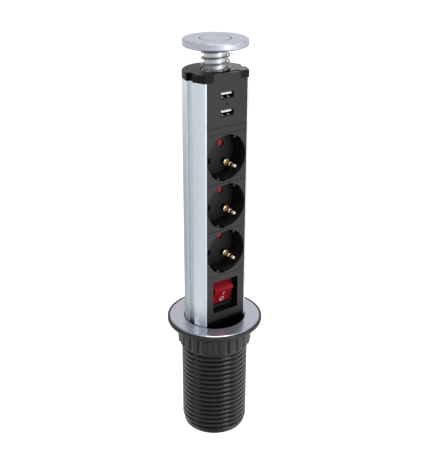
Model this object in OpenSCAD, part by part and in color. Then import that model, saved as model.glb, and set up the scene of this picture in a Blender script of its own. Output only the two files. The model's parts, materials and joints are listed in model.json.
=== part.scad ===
// Pop up desk socket: a round power tower that slides up through a flanged,
// threaded sleeve clamped in a desk hole. Three earthed outlets, a pair of USB
// ports and a rocker switch face -Y. Origin: the desk surface, on the hole's axis.

/* [Desk hole and flange] */
// Outer diameter of the black flange
flange_d = 84.8; // [80:0.2:96]
// Height of the trim ring's top above the desk
flange_h = 4.5; // [4:0.1:6]
// Thickness of the flange plate under the trim ring
flange_plate_t = 2.2; // [1.8:0.1:2.6]
// Width of the flange's rounded rim around the trim ring
rim_w = 2; // [1.6:0.1:3]
// How far the rim's top lies below the trim ring's top
rim_drop = 0.3; // [0.1:0.1:0.6]
// Bevel on the trim ring's inner and outer edge
ring_bevel = 0.6; // [0.3:0.1:1]
// Length of the plain spigot under the flange
spigot_h = 2.2; // [1.8:0.1:2.2]

/* [Sleeve and clamp nut] */
// Length of the sleeve below the desk surface
sleeve_l = 108.2; // [100:0.2:130]
// Wall of the sleeve at the root of its thread
sleeve_wall = 1.35; // [1.2:0.05:2]
// Pitch of the single-start right-hand thread
thread_pitch = 4.8; // [4.4:0.1:5.2]
// Depth of the thread
thread_depth = 1.15; // [1:0.05:1.25]
// Plain length at the sleeve's lower end
plain_end = 4; // [3:0.5:8]
// Gap left between the flange and the clamp washer
clamp_gap = 2.4; // [2.2:0.1:3]
// Thickness of the clamp washer
washer_t = 2; // [1.5:0.1:3]
// Wall of the clamp nut between its flutes
nut_wall = 2.95; // [2.5:0.05:5]
// Height of the nut's fluted band
nut_h = 15.3; // [13:0.1:20]
// Wall of the nut's plain lower rim
nut_rim_wall = 1.25; // [1:0.05:2]
// Height of the nut's plain lower rim
nut_rim_h = 3.1; // [2:0.1:5]
// Number of finger flutes around the nut
flutes = 24; // [18:1:30]
// Radius of a finger flute
flute_r = 2; // [1.5:0.1:2.4]
// Depth of a finger flute
flute_depth = 0.8; // [0.5:0.1:1.2]
// Height of the nut's plain band over the flutes
nut_band_h = 2; // [1:0.1:4]

/* [Tower] */
// Distance from the tower's axis to the front panel's face
panel_off = 16.4; // [16:0.1:17]
// Width of the front panel
panel_w = 39.1; // [38.9:0.1:39.5]
// How far the profile's lips stand proud of the panel
lip_proud = 0.3; // [0:0.1:0.5]
// Width of the profile's lips beside the panel
lip_w = 0.92; // [0.7:0.02:1.5]
// Wall of the profile outside the plates' tongues
groove_wall = 1.38; // [1.2:0.02:2]
// Wall of the aluminium profile
profile_wall = 2; // [1.6:0.1:2.4]
// Length of the tower left in the sleeve when raised
tower_down = 72; // [66:1:86]
// Angle of the two guide slots from the front
slot_angle = 85; // [82:1:92]
// Width of a guide slot
slot_w = 6.2; // [5.6:0.1:7]
// Depth of a guide slot
slot_depth = 3; // [2.6:0.1:3.4]
// Wall of the profile around a guide slot
slot_wall = 1.6; // [1.2:0.1:2]
// Thickness of the top and bottom end caps
end_cap_t = 6; // [5.5:0.1:8]
// How far the top end cap's plug enters the profile
top_plug_l = 3; // [2:0.1:5]
// How far the bottom end cap's plug enters the profile
bottom_plug_l = 6; // [4:0.1:10]
// Half the gap in front of the USB plate's top, between the end cap's ears
ear_x = 13.2; // [12:0.1:14.5]
// Rounding of the top end cap's upper edge
end_cap_round = 1.2; // [0.6:0.1:1.6]

/* [Panel modules] */
// Height of the switch module's lower edge above the desk
stack_z = 9.6; // [8:0.1:12]
// Height of one outlet or switch module
module_h = 42.1; // [41.8:0.1:43]
// Height of the USB module, up to the tower's top
usb_h = 43.1; // [42:0.1:50]
// Height of the spacer between the outlets and the USB plate
spacer_h = 5.4; // [3:0.1:6]
// Gap between neighbouring plates
seam = 0.3; // [0.2:0.05:0.5]
// Thickness of the plates in front of their tongues
plate_t = 3.4; // [3:0.1:3.6]
// Width of the plates over their tongues
tongue_w = 41.4; // [41:0.1:41.8]
// Depth of a tongue's front face behind the panel face
tongue_depth = 2.1; // [1.9:0.1:2.4]
// Thickness of a tongue
tongue_t = 2; // [1.6:0.1:2.2]

/* [Outlets] */
// Diameter of an outlet's round recess
recess_d = 37.8; // [37.4:0.1:38]
// Depth of an outlet's recess
recess_depth = 17.5; // [16.5:0.1:18]
// Thickness of the recess floor
floor_t = 2; // [1.6:0.1:2.4]
// Wall of the outlet's cup
cup_wall = 1.5; // [1.3:0.1:1.6]
// Chamfer around the recess mouth
mouth_chamfer = 0.5; // [0.2:0.1:0.6]
// Angle of the line through an outlet's pin holes
outlet_angle = 46; // [40:1:50]
// Distance between an outlet's pin holes
pin_spacing = 19; // [18.6:0.1:19.4]
// Diameter of a pin hole
pin_hole_d = 5.8; // [5.4:0.1:6.2]
// Distance of the earth pin from the outlet's centre
earth_off = 12; // [11:0.1:13]
// Diameter of the earth pin's tip
earth_d = 4.8; // [4.6:0.1:5]
// Diameter of the earth pin's collar
earth_collar_d = 6.5; // [6:0.1:7]
// Length of the earth pin's collar above the recess floor
earth_collar_h = 8.5; // [6:0.1:10]
// Diameter of the earth pin's neck
earth_neck_d = 3.4; // [3:0.1:4]
// Length of the earth pin's neck
earth_neck_h = 1.4; // [1:0.1:2]
// How far the earth pin's tip lies behind the panel face
earth_tip_depth = 0.8; // [0.4:0.1:4]
// First angle of the guide notch in the recess wall
notch_from = 43; // [40:1:46]
// Angle that the guide notch spans
notch_span = 42; // [38:1:44]
// Depth of the guide notch in the wall
notch_depth = 0.9; // [0.6:0.1:1]
// Length of the guide notch from the mouth
notch_l = 10; // [6:0.5:14]
// Width of the guide tooth in the notch
tooth_w = 2.4; // [2:0.1:3]
// How far the guide tooth stands into the recess
tooth_h = 1.3; // [0.8:0.1:1.6]
// Travel of a shutter
shutter_travel = 6.5; // [6.2:0.1:6.8]
// Thickness of a shutter
shutter_t = 1.4; // [1:0.1:1.5]
// Width of a shutter
shutter_w = 7.4; // [6.6:0.1:7.6]
// Length of a shutter past each pin hole's centre
shutter_past = 3.5; // [3.2:0.1:3.8]
// Height of the space in which a shutter slides
shutter_room = 1.9; // [1.7:0.1:2.4]
// Wall of the contact carrier around the shutter
skirt_wall = 2; // [1.5:0.1:2.5]
// Thickness of the contact carrier's flange
carrier_flange_t = 1.5; // [1.2:0.1:2]
// Thickness of the contact carrier's wall behind a clip
carrier_wall = 1; // [0.8:0.1:1.5]
// How far a contact clip's mouth lies inside its carrier
clip_sink = 0.6; // [0.3:0.1:1]
// Depth of the contact carrier's block
carrier_depth = 10; // [9:0.1:10.5]
// Width of the contact carrier's block
carrier_w = 23.6; // [22.6:0.1:24.4]
// Height of the contact carrier's block
carrier_h = 30; // [28:0.5:32]
// Outer diameter of a contact clip
clip_d = 6.8; // [6.4:0.1:7.2]
// Wall of a contact clip
clip_wall = 0.9; // [0.7:0.1:1.1]
// Slit in a contact clip
clip_slit = 1; // [0.8:0.1:1.4]
// Diameter of a contact clip's tail
clip_tail_d = 2.4; // [2:0.1:2.8]
// Diameter of the earth pin's tail
earth_tail_d = 3; // [2.6:0.1:3.2]
// Width of a busbar
bar_w = 3.6; // [3.2:0.1:3.8]
// Thickness of a busbar
bar_t = 1; // [0.8:0.1:1.2]
// How far the live and neutral busbars reach above the USB plate's lower edge
bar_up = 3.6; // [3:0.1:8]
// Height of the earth busbar's lower end over the profile's
earth_bar_up = 18; // [12:0.5:30]

/* [USB] */
// Width of a USB port's shell
port_w = 13.1; // [12.9:0.1:13.4]
// Height of a USB port's shell
port_h = 5.7; // [5.5:0.1:5.9]
// Distance between the two ports' centres
port_pitch = 14.3; // [12:0.1:16]
// Distance from the tower's top to the middle of the two ports
ports_below_top = 24.6; // [24.6:0.1:26]
// Length of a port's shell
port_l = 11; // [10:0.1:11]
// How far a port's mouth lies behind the panel face
port_sink = 0.6; // [0.3:0.1:1]
// Metal thickness of a port's shell
shell_t = 0.4; // [0.3:0.05:0.5]
// Thickness of a port's tongue
port_tongue_t = 1.8; // [1.6:0.1:2]
// Width of a port's tongue
port_tongue_w = 11.2; // [10.8:0.1:11.6]
// How far a port's tongue stops behind its mouth
port_tongue_sink = 1.4; // [1:0.1:2]
// Distance between a port's contacts
contact_pitch = 2.5; // [2.2:0.1:2.7]
// Width of a port's contact
contact_w = 1.2; // [1:0.1:1.6]
// How far a port's contacts stop behind the tongue's front
contact_sink = 1.4; // [1:0.1:2]
// Width of the USB circuit board
board_w = 26; // [22:0.5:30]
// Height of the USB circuit board
board_h = 27; // [24:0.5:28]
// Thickness of the USB circuit board
board_t = 1.6; // [1.2:0.1:1.6]
// Diameter of the light pipe
light_d = 2; // [1.6:0.1:2.6]
// How far the light pipe's end lies behind the panel face
light_sink = 0.3; // [0.1:0.1:0.6]
// Side of the charger's transformer
transformer_w = 13; // [11:0.1:13]
// Width of the transformer's winding past its core, on both sides together
winding_w = 2.4; // [1.6:0.1:3]
// Thickness of the transformer's core around its winding
core_t = 1.6; // [1:0.1:3]
// Diameter of the charger's capacitors
can_d = 6.5; // [5:0.1:7]
// Length of the charger's capacitors
can_l = 9.8; // [8:0.1:12]

/* [Switch] */
// Width of the switch pocket
pocket_w = 26; // [25:0.1:28]
// Height of the switch pocket
pocket_h = 30.3; // [29.6:0.1:33]
// Depth of the switch pocket
pocket_depth = 9.5; // [9:0.1:10]
// Corner radius of the switch pocket
pocket_r = 3; // [2:0.1:4]
// Thickness of the pocket's walls and floor
pocket_wall = 1.4; // [1:0.1:1.8]
// Thickness of the switch frame
frame_t = 1.5; // [1.2:0.1:2]
// Width of the rocker
rocker_w = 19.4; // [18.6:0.1:20]
// Height of the rocker over its two ends
rocker_h = 22.8; // [22:0.1:23.4]
// Height of the rocker's face between its two ridges
rocker_face_h = 17.8; // [16:0.1:19]
// Distance of the rocker's ridges in front of its pivot
rocker_ridge = 7.8; // [7:0.1:8.4]
// How far the rocker's face dips between its ridges
rocker_dish = 0.8; // [0.2:0.1:1.2]
// Angle of the rocker's throw
rocker_throw = 46; // [40:1:48]
// Depth of the rocker's pivot behind the frame
pivot_in = 1.9; // [1.6:0.1:2.4]
// Thickness of the rocker behind its pivot
rocker_back = 3.2; // [2.4:0.1:3.6]
// Diameter of the rocker's pivot pins
pivot_d = 1.6; // [1.4:0.1:1.8]
// Wall of the switch body beside the rocker
body_wall = 1; // [0.8:0.1:1.2]
// Distance of a switch terminal from the switch's centre
terminal_off = 7.2; // [6:0.1:9]
// Depth of the switch body behind the pocket floor
switch_body_l = 15; // [13:0.5:15.5]

/* [Cap and spring] */
// Gap around the cap when it is down in the sleeve
cap_side = 1; // [0.7:0.1:1.6]
// Thickness of the cap
cap_t = 5.7; // [5:0.1:7]
// Rounding of the cap's edges
cap_round = 1.4; // [0.8:0.1:2]
// Gap between the tower's top and the cap
cap_gap = 18.5; // [17:0.1:22]
// Travel of the cap when it is pressed
cap_travel = 9; // [7:0.1:9]
// Diameter of the groove around the cap's centre disc
cap_groove_d = 26; // [20:0.5:32]
// Width and depth of the cap's groove
cap_groove = 0.5; // [0.3:0.1:0.8]
// Diameter of the stem
stem_d = 18.5; // [17:0.1:19]
// How deep the stem is set into the cap
stem_seat = 1.4; // [1:0.1:2.5]
// Thickness of the stem's roof under the cap
stem_roof = 1; // [0.6:0.1:2]
// How deep the stem reaches into the end cap
stem_in = 3.2; // [3:0.1:3.3]
// Thickness of the stem's lower collar
stem_collar_t = 3; // [2.4:0.1:3.4]
// Wall and floor of the hub around the stem
hub_wall = 1.6; // [1.2:0.1:2]
// Diameter of the post that guides the stem
post_d = 6.8; // [6:0.1:7.2]
// Diameter of the post's head
post_head_d = 12.4; // [11:0.1:12.8]
// Height of the post's head
post_head_h = 3; // [2.4:0.1:3.6]
// Outer diameter of the spring
spring_d = 23.1; // [22.6:0.1:23.4]
// Diameter of the spring's wire
wire_d = 1.2; // [1:0.05:1.4]
// Number of the spring's curls
curls = 4.5; // [3.5:0.5:6]
// Depth of the spring's well in the end cap
well_depth = 2.5; // [2:0.1:2.8]

/* [Cable gland] */
// Diameter of the gland's cable bore
gland_bore_d = 8.4; // [7:0.1:10]
// Diameter of the gland's body
gland_d = 15; // [13:0.5:17]
// Diameter of the gland's hexagons over their corners
gland_hex_d = 19; // [18.5:0.5:21]
// Height of the gland's hexagons
gland_hex_h = 3; // [2:0.5:6]
// Length of the gland below the end cap
gland_l = 14; // [10:0.5:20]
// Distance of the gland behind the tower's axis
gland_back = 4; // [0:0.5:6]

/* [Screws] */
// Diameter of the end cap screws
screw_d = 3; // [2.6:0.1:3.4]
// Head diameter of the end cap screws
screw_head_d = 5.6; // [5:0.1:6]
// Length of the slots in a screw's head
screw_slot_l = 3.4; // [2.6:0.1:4]
// Width of the slots in a screw's head
screw_slot_w = 0.9; // [0.6:0.1:1.2]
// Length of the post's screw above the hub's floor
post_screw_l = 8; // [6:0.5:10]
// Height of the post's screw's head
post_screw_head_h = 1.5; // [1.2:0.1:2]
// Length of the end cap screws
screw_l = 16; // [12:0.5:24]
// Angle of the screw ports from the front
port_angle = 128; // [124:1:132]

/* [Hidden] */
$fn = 96;

// Clearances
fit_gap = 0.05;    // between fixed round pieces
run_gap = 0.1;     // between sliding round pieces
slide_gap = 0.5;   // between the tower and the sleeve's bore
panel_gap = 0.15;  // between a plate and the profile
rail_gap = 0.4;    // between a rail and its slot
notch_gap = 0.8;   // beside a rail in the top end cap, and under the pressed cap
well_gap = 0.65;   // between the spring and its well
port_inset = 0.65; // between a screw port and the profile's wall
rocker_gap = 0.35; // around the rocker
stop_gap = 0.3;    // between a stop and what it stops
thread_gap = 0.4;  // between the nut's thread and the sleeve's
eps = 0.01;        // how far a cut runs past a face

// Colours
black = [0.09, 0.09, 0.1];
charcoal = [0.24, 0.24, 0.255];
silver = [0.78, 0.78, 0.8];
aluminium = [0.82, 0.83, 0.86];
brass = [0.85, 0.66, 0.38];
red = [0.6, 0.08, 0.11];
white = [0.9, 0.9, 0.9];
green = [0.1, 0.35, 0.2];
tape = [0.75, 0.65, 0.2];
can_black = [0.15, 0.16, 0.2];

// Radii
groove_corner = [tongue_w / 2 + panel_gap, panel_off - tongue_depth + panel_gap];
lip_corner = [panel_w / 2 + panel_gap, panel_off + lip_proud];
tower_r = max(norm(groove_corner) + groove_wall, norm(lip_corner) + lip_w);
tower_d = 2 * tower_r;
bore_r = tower_r + slide_gap;
root_r = bore_r + sleeve_wall;
thread_r = root_r + thread_depth;
ring_r = flange_d / 2 - rim_w;
nut_bore_r = thread_r + thread_gap;
nut_r = nut_bore_r + nut_wall;
nut_rim_r = nut_bore_r + nut_rim_wall;
profile_in_r = tower_r - profile_wall;
port_off = profile_in_r - screw_d / 2 - port_inset;
stem_r = stem_d / 2;
cap_r = bore_r - cap_side;
spring_r = spring_d / 2 - wire_d / 2;
well_r = spring_d / 2 + well_gap;
recess_r = recess_d / 2;

// Modules under the spacer: three outlets and the switch
module_count = 4;

// Heights
washer_top = -clamp_gap;
nut_top = washer_top - washer_t - stop_gap;
nut_bottom = nut_top - nut_h - nut_rim_h;
usb_z = stack_z + module_count * module_h + spacer_h;
tower_up = usb_z + usb_h;
cap_under = tower_up + cap_gap;
cap_top = cap_under + cap_t;
tower_travel = cap_top - cap_travel - flange_h;
rail_top = min(flange_h - cap_t, -spigot_h) - notch_gap;
profile_top = tower_up - end_cap_t;
profile_bottom = -tower_down + end_cap_t;
plug_top = profile_bottom + bottom_plug_l;
rail_bottom = profile_bottom + stop_gap;
ports_z = tower_up - ports_below_top;
switch_z = stack_z + module_h / 2;
function outlet_z(i) = usb_z - spacer_h - (i - 0.5) * module_h;
well_floor = tower_up - well_depth;
stem_bottom = tower_up - stem_in;
hub_floor = stem_bottom - cap_travel - stop_gap;
stem_top = cap_under + stem_seat;

// Depths behind the panel face
floor_back = recess_depth + floor_t;
carrier_front = floor_back + shutter_room;
carrier_back = carrier_front + carrier_depth;
clip_front = carrier_front + clip_sink;
clip_back = carrier_back - carrier_wall;
board_front = port_sink + port_l;
frame_face = pocket_depth - frame_t;
pivot_z = pocket_depth + pivot_in;
body_back = pocket_depth + switch_body_l;

// Thread profiles: half widths at the root and at the crest
ridge_root = thread_pitch / 3;
ridge_crest = thread_pitch / 8;
ridge_sink = 0.3;
thread_steps = 24;

// Puts children, drawn with x right, y up and z out of the panel, on the panel at height z
module on_panel(z) {
    translate([0, -panel_off, z])
        rotate([90, 0, 0])
            children();
}

// Turns children that point along +X to a bearing from the front
module at_bearing(angle) {
    rotate([0, 0, angle - 90])
        children();
}

// A box centred in x and y, from depth z0 to depth z1
module block(w, h, z0, z1) {
    translate([-w / 2, -h / 2, min(z0, z1)])
        cube([w, h, abs(z1 - z0)]);
}

// A box with four round corners, from depth z0 to depth z1
module round_block(w, h, r, z0, z1) {
    block(w - 2 * r, h, z0, z1);
    block(w, h - 2 * r, z0, z1);
    for (sx = [-1, 1], sy = [-1, 1])
        translate([sx * (w / 2 - r), sy * (h / 2 - r), min(z0, z1)])
            cylinder(r = r, h = abs(z1 - z0));
}

// A rod along z, from depth z0 to depth z1
module rod(r, z0, z1) {
    translate([0, 0, min(z0, z1)])
        cylinder(r = r, h = abs(z1 - z0));
}

// A ring about the z axis, from height z0 to height z1
module ring(r_in, r_out, z0, z1) {
    difference() {
        rod(r_out, z0, z1);
        rod(r_in, min(z0, z1) - eps, max(z0, z1) + eps);
    }
}

// A tube of facets through a row of closed rings of points
module skin(rings) {
    sides = len(rings[0]);
    last = len(rings) - 1;
    polyhedron(
        points = [for (r = rings) each r],
        faces = [
            for (i = [0 : last - 1], j = [0 : sides - 1], half = [0, 1])
                let (a = i * sides + j, b = i * sides + (j + 1) % sides)
                half == 0 ? [a, a + sides, b] : [b, a + sides, b + sides],
            for (j = [1 : sides - 2]) [0, j, j + 1],
            for (j = [1 : sides - 2]) [last * sides, last * sides + j + 1, last * sides + j]
        ]
    );
}

// One step of a helical ridge: four points across it, on r_base and r_tip, with half widths there
function ridge_ring(i, z0, r_base, r_tip, w_base, w_tip) =
    let (
        a = 360 * i / thread_steps,
        z = z0 + thread_pitch * i / thread_steps,
        section = [[r_base, -w_base], [r_tip, -w_tip], [r_tip, w_tip], [r_base, w_base]]
    )
    [for (p = section) [p[0] * cos(a), p[0] * sin(a), z + p[1]]];

// How many steps of a ridge fit between two heights
function ridge_steps(z0, z1) = floor((z1 - z0) / thread_pitch * thread_steps);

module ridge(z0, z1, r_base, r_tip, w_base, w_tip) {
    skin([for (i = [0 : ridge_steps(z0, z1)]) ridge_ring(i, z0, r_base, r_tip, w_base, w_tip)]);
}

// A round bar from z_low to z_high with a thread that rises from it and runs out again
module threaded_bar(z_low, z_high, z0, z1) {
    n = thread_steps;
    last = ridge_steps(z0, z1);
    run_out = n / 4;
    low = 4 * (last + 1);
    high = low + n;
    points = [
        for (i = [0 : last])
            let (tip = root_r + thread_depth * min(1, i / run_out, (last - i) / run_out))
            each ridge_ring(i, z0, root_r, tip, ridge_root, ridge_crest),
        for (z = [z_low, z_high], i = [0 : n - 1])
            [root_r * cos(360 * i / n), root_r * sin(360 * i / n), z]
    ];
    // Every cell is a loop of points with its far corner first, cut into a fan of triangles
    loops = [
        for (i = [0 : last - 1], k = [0 : 2])
            [4 * i + k, 4 * i + 4 + k, 4 * i + 5 + k, 4 * i + 1 + k],
        for (i = [0 : last - n - 1])
            [4 * i + 3, 4 * i + 7, 4 * (i + n + 1), 4 * (i + n)],
        for (i = [0 : n - 2])
            [low + i, low + i + 1, 4 * (i + 1), 4 * i],
        [4 * (n - 1), low + n - 1, low, 0, 1, 2, 3, 4 * n],
        for (i = [last - n + 1 : last - 1])
            [4 * i + 3, 4 * i + 7, high + (i + 1) % n, high + i % n],
        [
            4 * (last - n + 1) + 3, high + (last + 1) % n, high + last % n, 4 * last + 3,
            4 * last + 2, 4 * last + 1, 4 * last, 4 * (last - n) + 3
        ],
        [for (i = [0 : n - 1]) low + n - 1 - i],
        [for (i = [0 : n - 1]) high + i]
    ];
    polyhedron(
        points = points,
        faces = [for (f = loops, k = [1 : len(f) - 2]) [f[0], f[k + 1], f[k]]]
    );
}

// Desk fixing

thread_z0 = -sleeve_l + plain_end + ridge_root;
thread_z1 = -spigot_h - ridge_root - fit_gap;

module threaded_sleeve() {
    color(black)
        difference() {
            threaded_bar(-sleeve_l, flange_plate_t, thread_z0, thread_z1);
            rod(bore_r, -sleeve_l - eps, flange_plate_t + eps);
        }
}

module mounting_flange() {
    neck_r = root_r + fit_gap;
    rim_mid = flange_d / 2 - rim_w / 2;
    rim_top = flange_h - rim_drop;
    color(black)
        rotate_extrude() {
            translate([neck_r, 0])
                square([rim_mid - neck_r, flange_plate_t]);
            translate([neck_r, -spigot_h])
                square([thread_r - neck_r, spigot_h + eps]);
            translate([ring_r, rim_w / 2])
                square([rim_w, rim_top - rim_w]);
            for (z = [rim_w / 2, rim_top - rim_w / 2])
                translate([rim_mid, z])
                    circle(d = rim_w);
        }
}

module trim_ring() {
    out_r = ring_r - fit_gap;
    color(silver)
        rotate_extrude()
            polygon([
                [bore_r, flange_plate_t], [out_r, flange_plate_t], [out_r, flange_h - ring_bevel],
                [out_r - ring_bevel, flange_h], [bore_r + ring_bevel, flange_h],
                [bore_r, flange_h - ring_bevel]
            ]);
}

module guide_rails() {
    in_r = tower_r - slot_depth + rail_gap;
    w = slot_w - 2 * rail_gap;
    color(charcoal)
        for (s = [-1, 1])
            at_bearing(s * slot_angle)
                intersection() {
                    translate([in_r, -w / 2, rail_bottom])
                        cube([bore_r - in_r, w, rail_top - rail_bottom]);
                    rod(bore_r - fit_gap, rail_bottom, rail_top);
                }
}

module clamp_washer() {
    color(charcoal)
        ring(nut_bore_r, nut_r, washer_top - washer_t, washer_top);
}

module clamp_nut() {
    flute_z = nut_top - nut_h;
    groove_w = thread_pitch / 2 - ridge_root;
    tip_r = root_r + thread_gap;
    turns_z0 = floor((nut_bottom - thread_z0) / thread_pitch + 1) * thread_pitch + thread_z0;
    color(black) {
        difference() {
            union() {
                rod(nut_r, flute_z, nut_top);
                rod(nut_rim_r, nut_bottom, flute_z + eps);
            }
            rod(nut_bore_r, nut_bottom - eps, nut_top + eps);
            for (i = [0 : flutes - 1])
                rotate([0, 0, 360 * i / flutes])
                    translate([nut_r + flute_r - flute_depth, 0, 0])
                        rod(flute_r, flute_z - eps, nut_top - nut_band_h);
        }
        ridge(
            turns_z0 + thread_pitch / 2, nut_top - thread_pitch / 2,
            nut_bore_r + ridge_sink, tip_r, groove_w + thread_gap, groove_w
        );
    }
}

// Aluminium tower

// The tower's outline with its flat front, from height z0 to height z1
module tower_outline(r, front, z0, z1) {
    intersection() {
        rod(r, z0, z1);
        translate([-tower_d, -front, z0])
            cube([2 * tower_d, front + tower_d, z1 - z0]);
    }
}

// Puts children at the two screw ports
module at_screw_ports() {
    for (s = [-1, 1])
        at_bearing(s * port_angle)
            translate([port_off, 0, 0])
                children();
}

module tower_profile() {
    front = panel_off + lip_proud;
    channel_w = panel_w + 2 * panel_gap;
    lip_back = panel_off - tongue_depth - tongue_t - profile_wall;
    boss_in_r = tower_r - slot_depth - slot_wall;
    boss_w = slot_w + 2 * slot_wall;
    groove_back = panel_off - tongue_depth - tongue_t - panel_gap;
    groove_w = tongue_w + 2 * panel_gap;
    l = profile_top - profile_bottom;
    color(aluminium)
        translate([0, 0, profile_bottom])
            linear_extrude(l)
                difference() {
                    intersection() {
                        circle(r = tower_r);
                        union() {
                            difference() {
                                circle(r = tower_r);
                                circle(r = profile_in_r);
                            }
                            translate([-tower_r, -front])
                                square([tower_d, front - lip_back]);
                            for (s = [-1, 1]) {
                                at_bearing(s * slot_angle)
                                    translate([boss_in_r, -boss_w / 2])
                                        square([tower_r - boss_in_r, boss_w]);
                                at_bearing(s * port_angle)
                                    translate([port_off, 0])
                                        circle(r = screw_d / 2 + profile_wall);
                            }
                        }
                    }
                    translate([-tower_r, -tower_d - front])
                        square([tower_d, tower_d]);
                    translate([-channel_w / 2, -tower_r])
                        square([channel_w, tower_r - lip_back + eps]);
                    translate([-groove_w / 2, -groove_back - tongue_t - 2 * panel_gap])
                        square([groove_w, tongue_t + 2 * panel_gap]);
                    for (s = [-1, 1]) {
                        at_bearing(s * slot_angle)
                            translate([tower_r - slot_depth, -slot_w / 2])
                                square([tower_d, slot_w]);
                        at_bearing(s * port_angle)
                            translate([port_off, 0])
                                circle(r = screw_d / 2 + fit_gap);
                    }
                }
}

// The part of an end cap that enters the profile
module end_cap_plug(z0, z1) {
    plug_r = tower_r - slot_depth - slot_wall - panel_gap;
    front = panel_off - tongue_depth - tongue_t - panel_gap;
    difference() {
        tower_outline(plug_r, front, z0, z1);
        at_screw_ports()
            rod(screw_d / 2 + profile_wall + panel_gap, z0 - eps, z1 + eps);
    }
}

module top_end_cap() {
    hub_r = stem_r + run_gap + hub_wall;
    plug_z = hub_floor - hub_wall;
    plate_room = panel_off - tongue_depth - tongue_t - panel_gap;
    notch_w = slot_w + 2 * notch_gap;
    color(black)
        difference() {
            union() {
                intersection() {
                    rotate_extrude() {
                        translate([0, profile_top])
                            square([tower_r, end_cap_t - end_cap_round]);
                        translate([0, profile_top])
                            square([tower_r - end_cap_round, end_cap_t]);
                        translate([tower_r - end_cap_round, tower_up - end_cap_round])
                            circle(r = end_cap_round);
                    }
                    tower_outline(tower_d, panel_off, profile_top, tower_up);
                }
                end_cap_plug(profile_top - top_plug_l, profile_top + eps);
                rod(hub_r, plug_z, profile_top + eps);
            }
            translate([-ear_x, -tower_d, profile_top - eps])
                cube([2 * ear_x, tower_d - plate_room, end_cap_t + 2 * eps]);
            for (s = [-1, 1])
                at_bearing(s * slot_angle)
                    translate([tower_r - slot_depth - rail_gap, -notch_w / 2, profile_top - eps])
                        cube([tower_d, notch_w, end_cap_t + 2 * eps]);
            rod(well_r, well_floor, tower_up + eps);
            rod(stem_r + run_gap, hub_floor, tower_up);
            rod(screw_d / 2 + fit_gap, plug_z - eps, hub_floor + eps);
            at_screw_ports()
                screw_hole(tower_up, profile_top - end_cap_t);
        }
}

// Height of a countersunk head
head_h = (screw_head_d - screw_d) / 2;

// A countersunk hole from its mouth at z_head to z_end
module screw_hole(z_head, z_end) {
    hole_r = screw_d / 2 + fit_gap;
    rod(hole_r, z_end, z_head);
    translate([0, 0, z_head - head_h])
        cylinder(r1 = hole_r, r2 = screw_head_d / 2 + fit_gap, h = head_h + eps);
}

// The crossed slots in a screw's head, from depth z0 to depth z1
module cross_slot(z0, z1) {
    block(screw_slot_l, screw_slot_w, z0, z1);
    block(screw_slot_w, screw_slot_l, z0, z1);
}

// A countersunk screw, its head's face at z = 0 and its shank towards -z
module countersunk_screw() {
    difference() {
        union() {
            rod(screw_d / 2, -screw_l, -head_h / 2);
            translate([0, 0, -head_h])
                cylinder(r1 = screw_d / 2, r2 = screw_head_d / 2, h = head_h);
        }
        cross_slot(-head_h / 2, eps);
    }
}

module top_cap_screws() {
    color(charcoal)
        at_screw_ports()
            translate([0, 0, tower_up - fit_gap])
                countersunk_screw();
}

module bottom_end_cap() {
    color(black)
        difference() {
            union() {
                tower_outline(tower_r - fit_gap, panel_off, -tower_down, profile_bottom);
                end_cap_plug(profile_bottom - eps, plug_top);
            }
            translate([0, gland_back, 0])
                rod(gland_d / 2 + fit_gap, -tower_down - eps, plug_top + eps);
            mirror([0, 0, 1])
                at_screw_ports()
                    screw_hole(tower_down, tower_down - end_cap_t - eps);
        }
}

module bottom_cap_screws() {
    color(charcoal)
        mirror([0, 0, 1])
            at_screw_ports()
                translate([0, 0, tower_down - fit_gap])
                    countersunk_screw();
}

module cable_gland() {
    bottom = -tower_down - gland_l;
    top = plug_top + gland_hex_h;
    color(black)
        translate([0, gland_back, 0])
            difference() {
                union() {
                    rod(gland_d / 2, bottom, top);
                    for (z = [-tower_down - gland_hex_h, plug_top])
                        translate([0, 0, z])
                            cylinder(d = gland_hex_d, h = gland_hex_h, $fn = 6);
                }
                rod(gland_bore_d / 2, bottom - eps, top + eps);
            }
}

// Front plates

// A plate of height h about y = 0, with tongues that run in the profile's grooves
module plate(h) {
    block(panel_w, h - seam, -plate_t, 0);
    block(tongue_w, h - seam, -tongue_depth - tongue_t, -tongue_depth);
}

module spacer_plate() {
    color(charcoal)
        on_panel(usb_z - spacer_h / 2)
            plate(spacer_h);
}

module lower_blank_plate() {
    h = stack_z - profile_bottom;
    color(charcoal)
        on_panel(profile_bottom + h / 2)
            plate(h);
}

// Outlets

// Puts children at both pin holes of an outlet
module at_pin_holes() {
    for (s = [-1, 1])
        rotate([0, 0, outlet_angle])
            translate([s * pin_spacing / 2, 0, 0])
                rotate([0, 0, -outlet_angle])
                    children();
}

// Puts children at an outlet's earth pin
module at_earth_pin() {
    rotate([0, 0, outlet_angle - 90])
        translate([earth_off, 0, 0])
            children();
}

// One stretch of the recess wall from a first angle over a span
module wall_sector(from, span, r_in, r_out, depth) {
    rotate([0, 0, from])
        translate([0, 0, -depth])
            rotate_extrude(angle = span)
                translate([r_in, 0])
                    square([r_out - r_in, depth + eps]);
}

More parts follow.
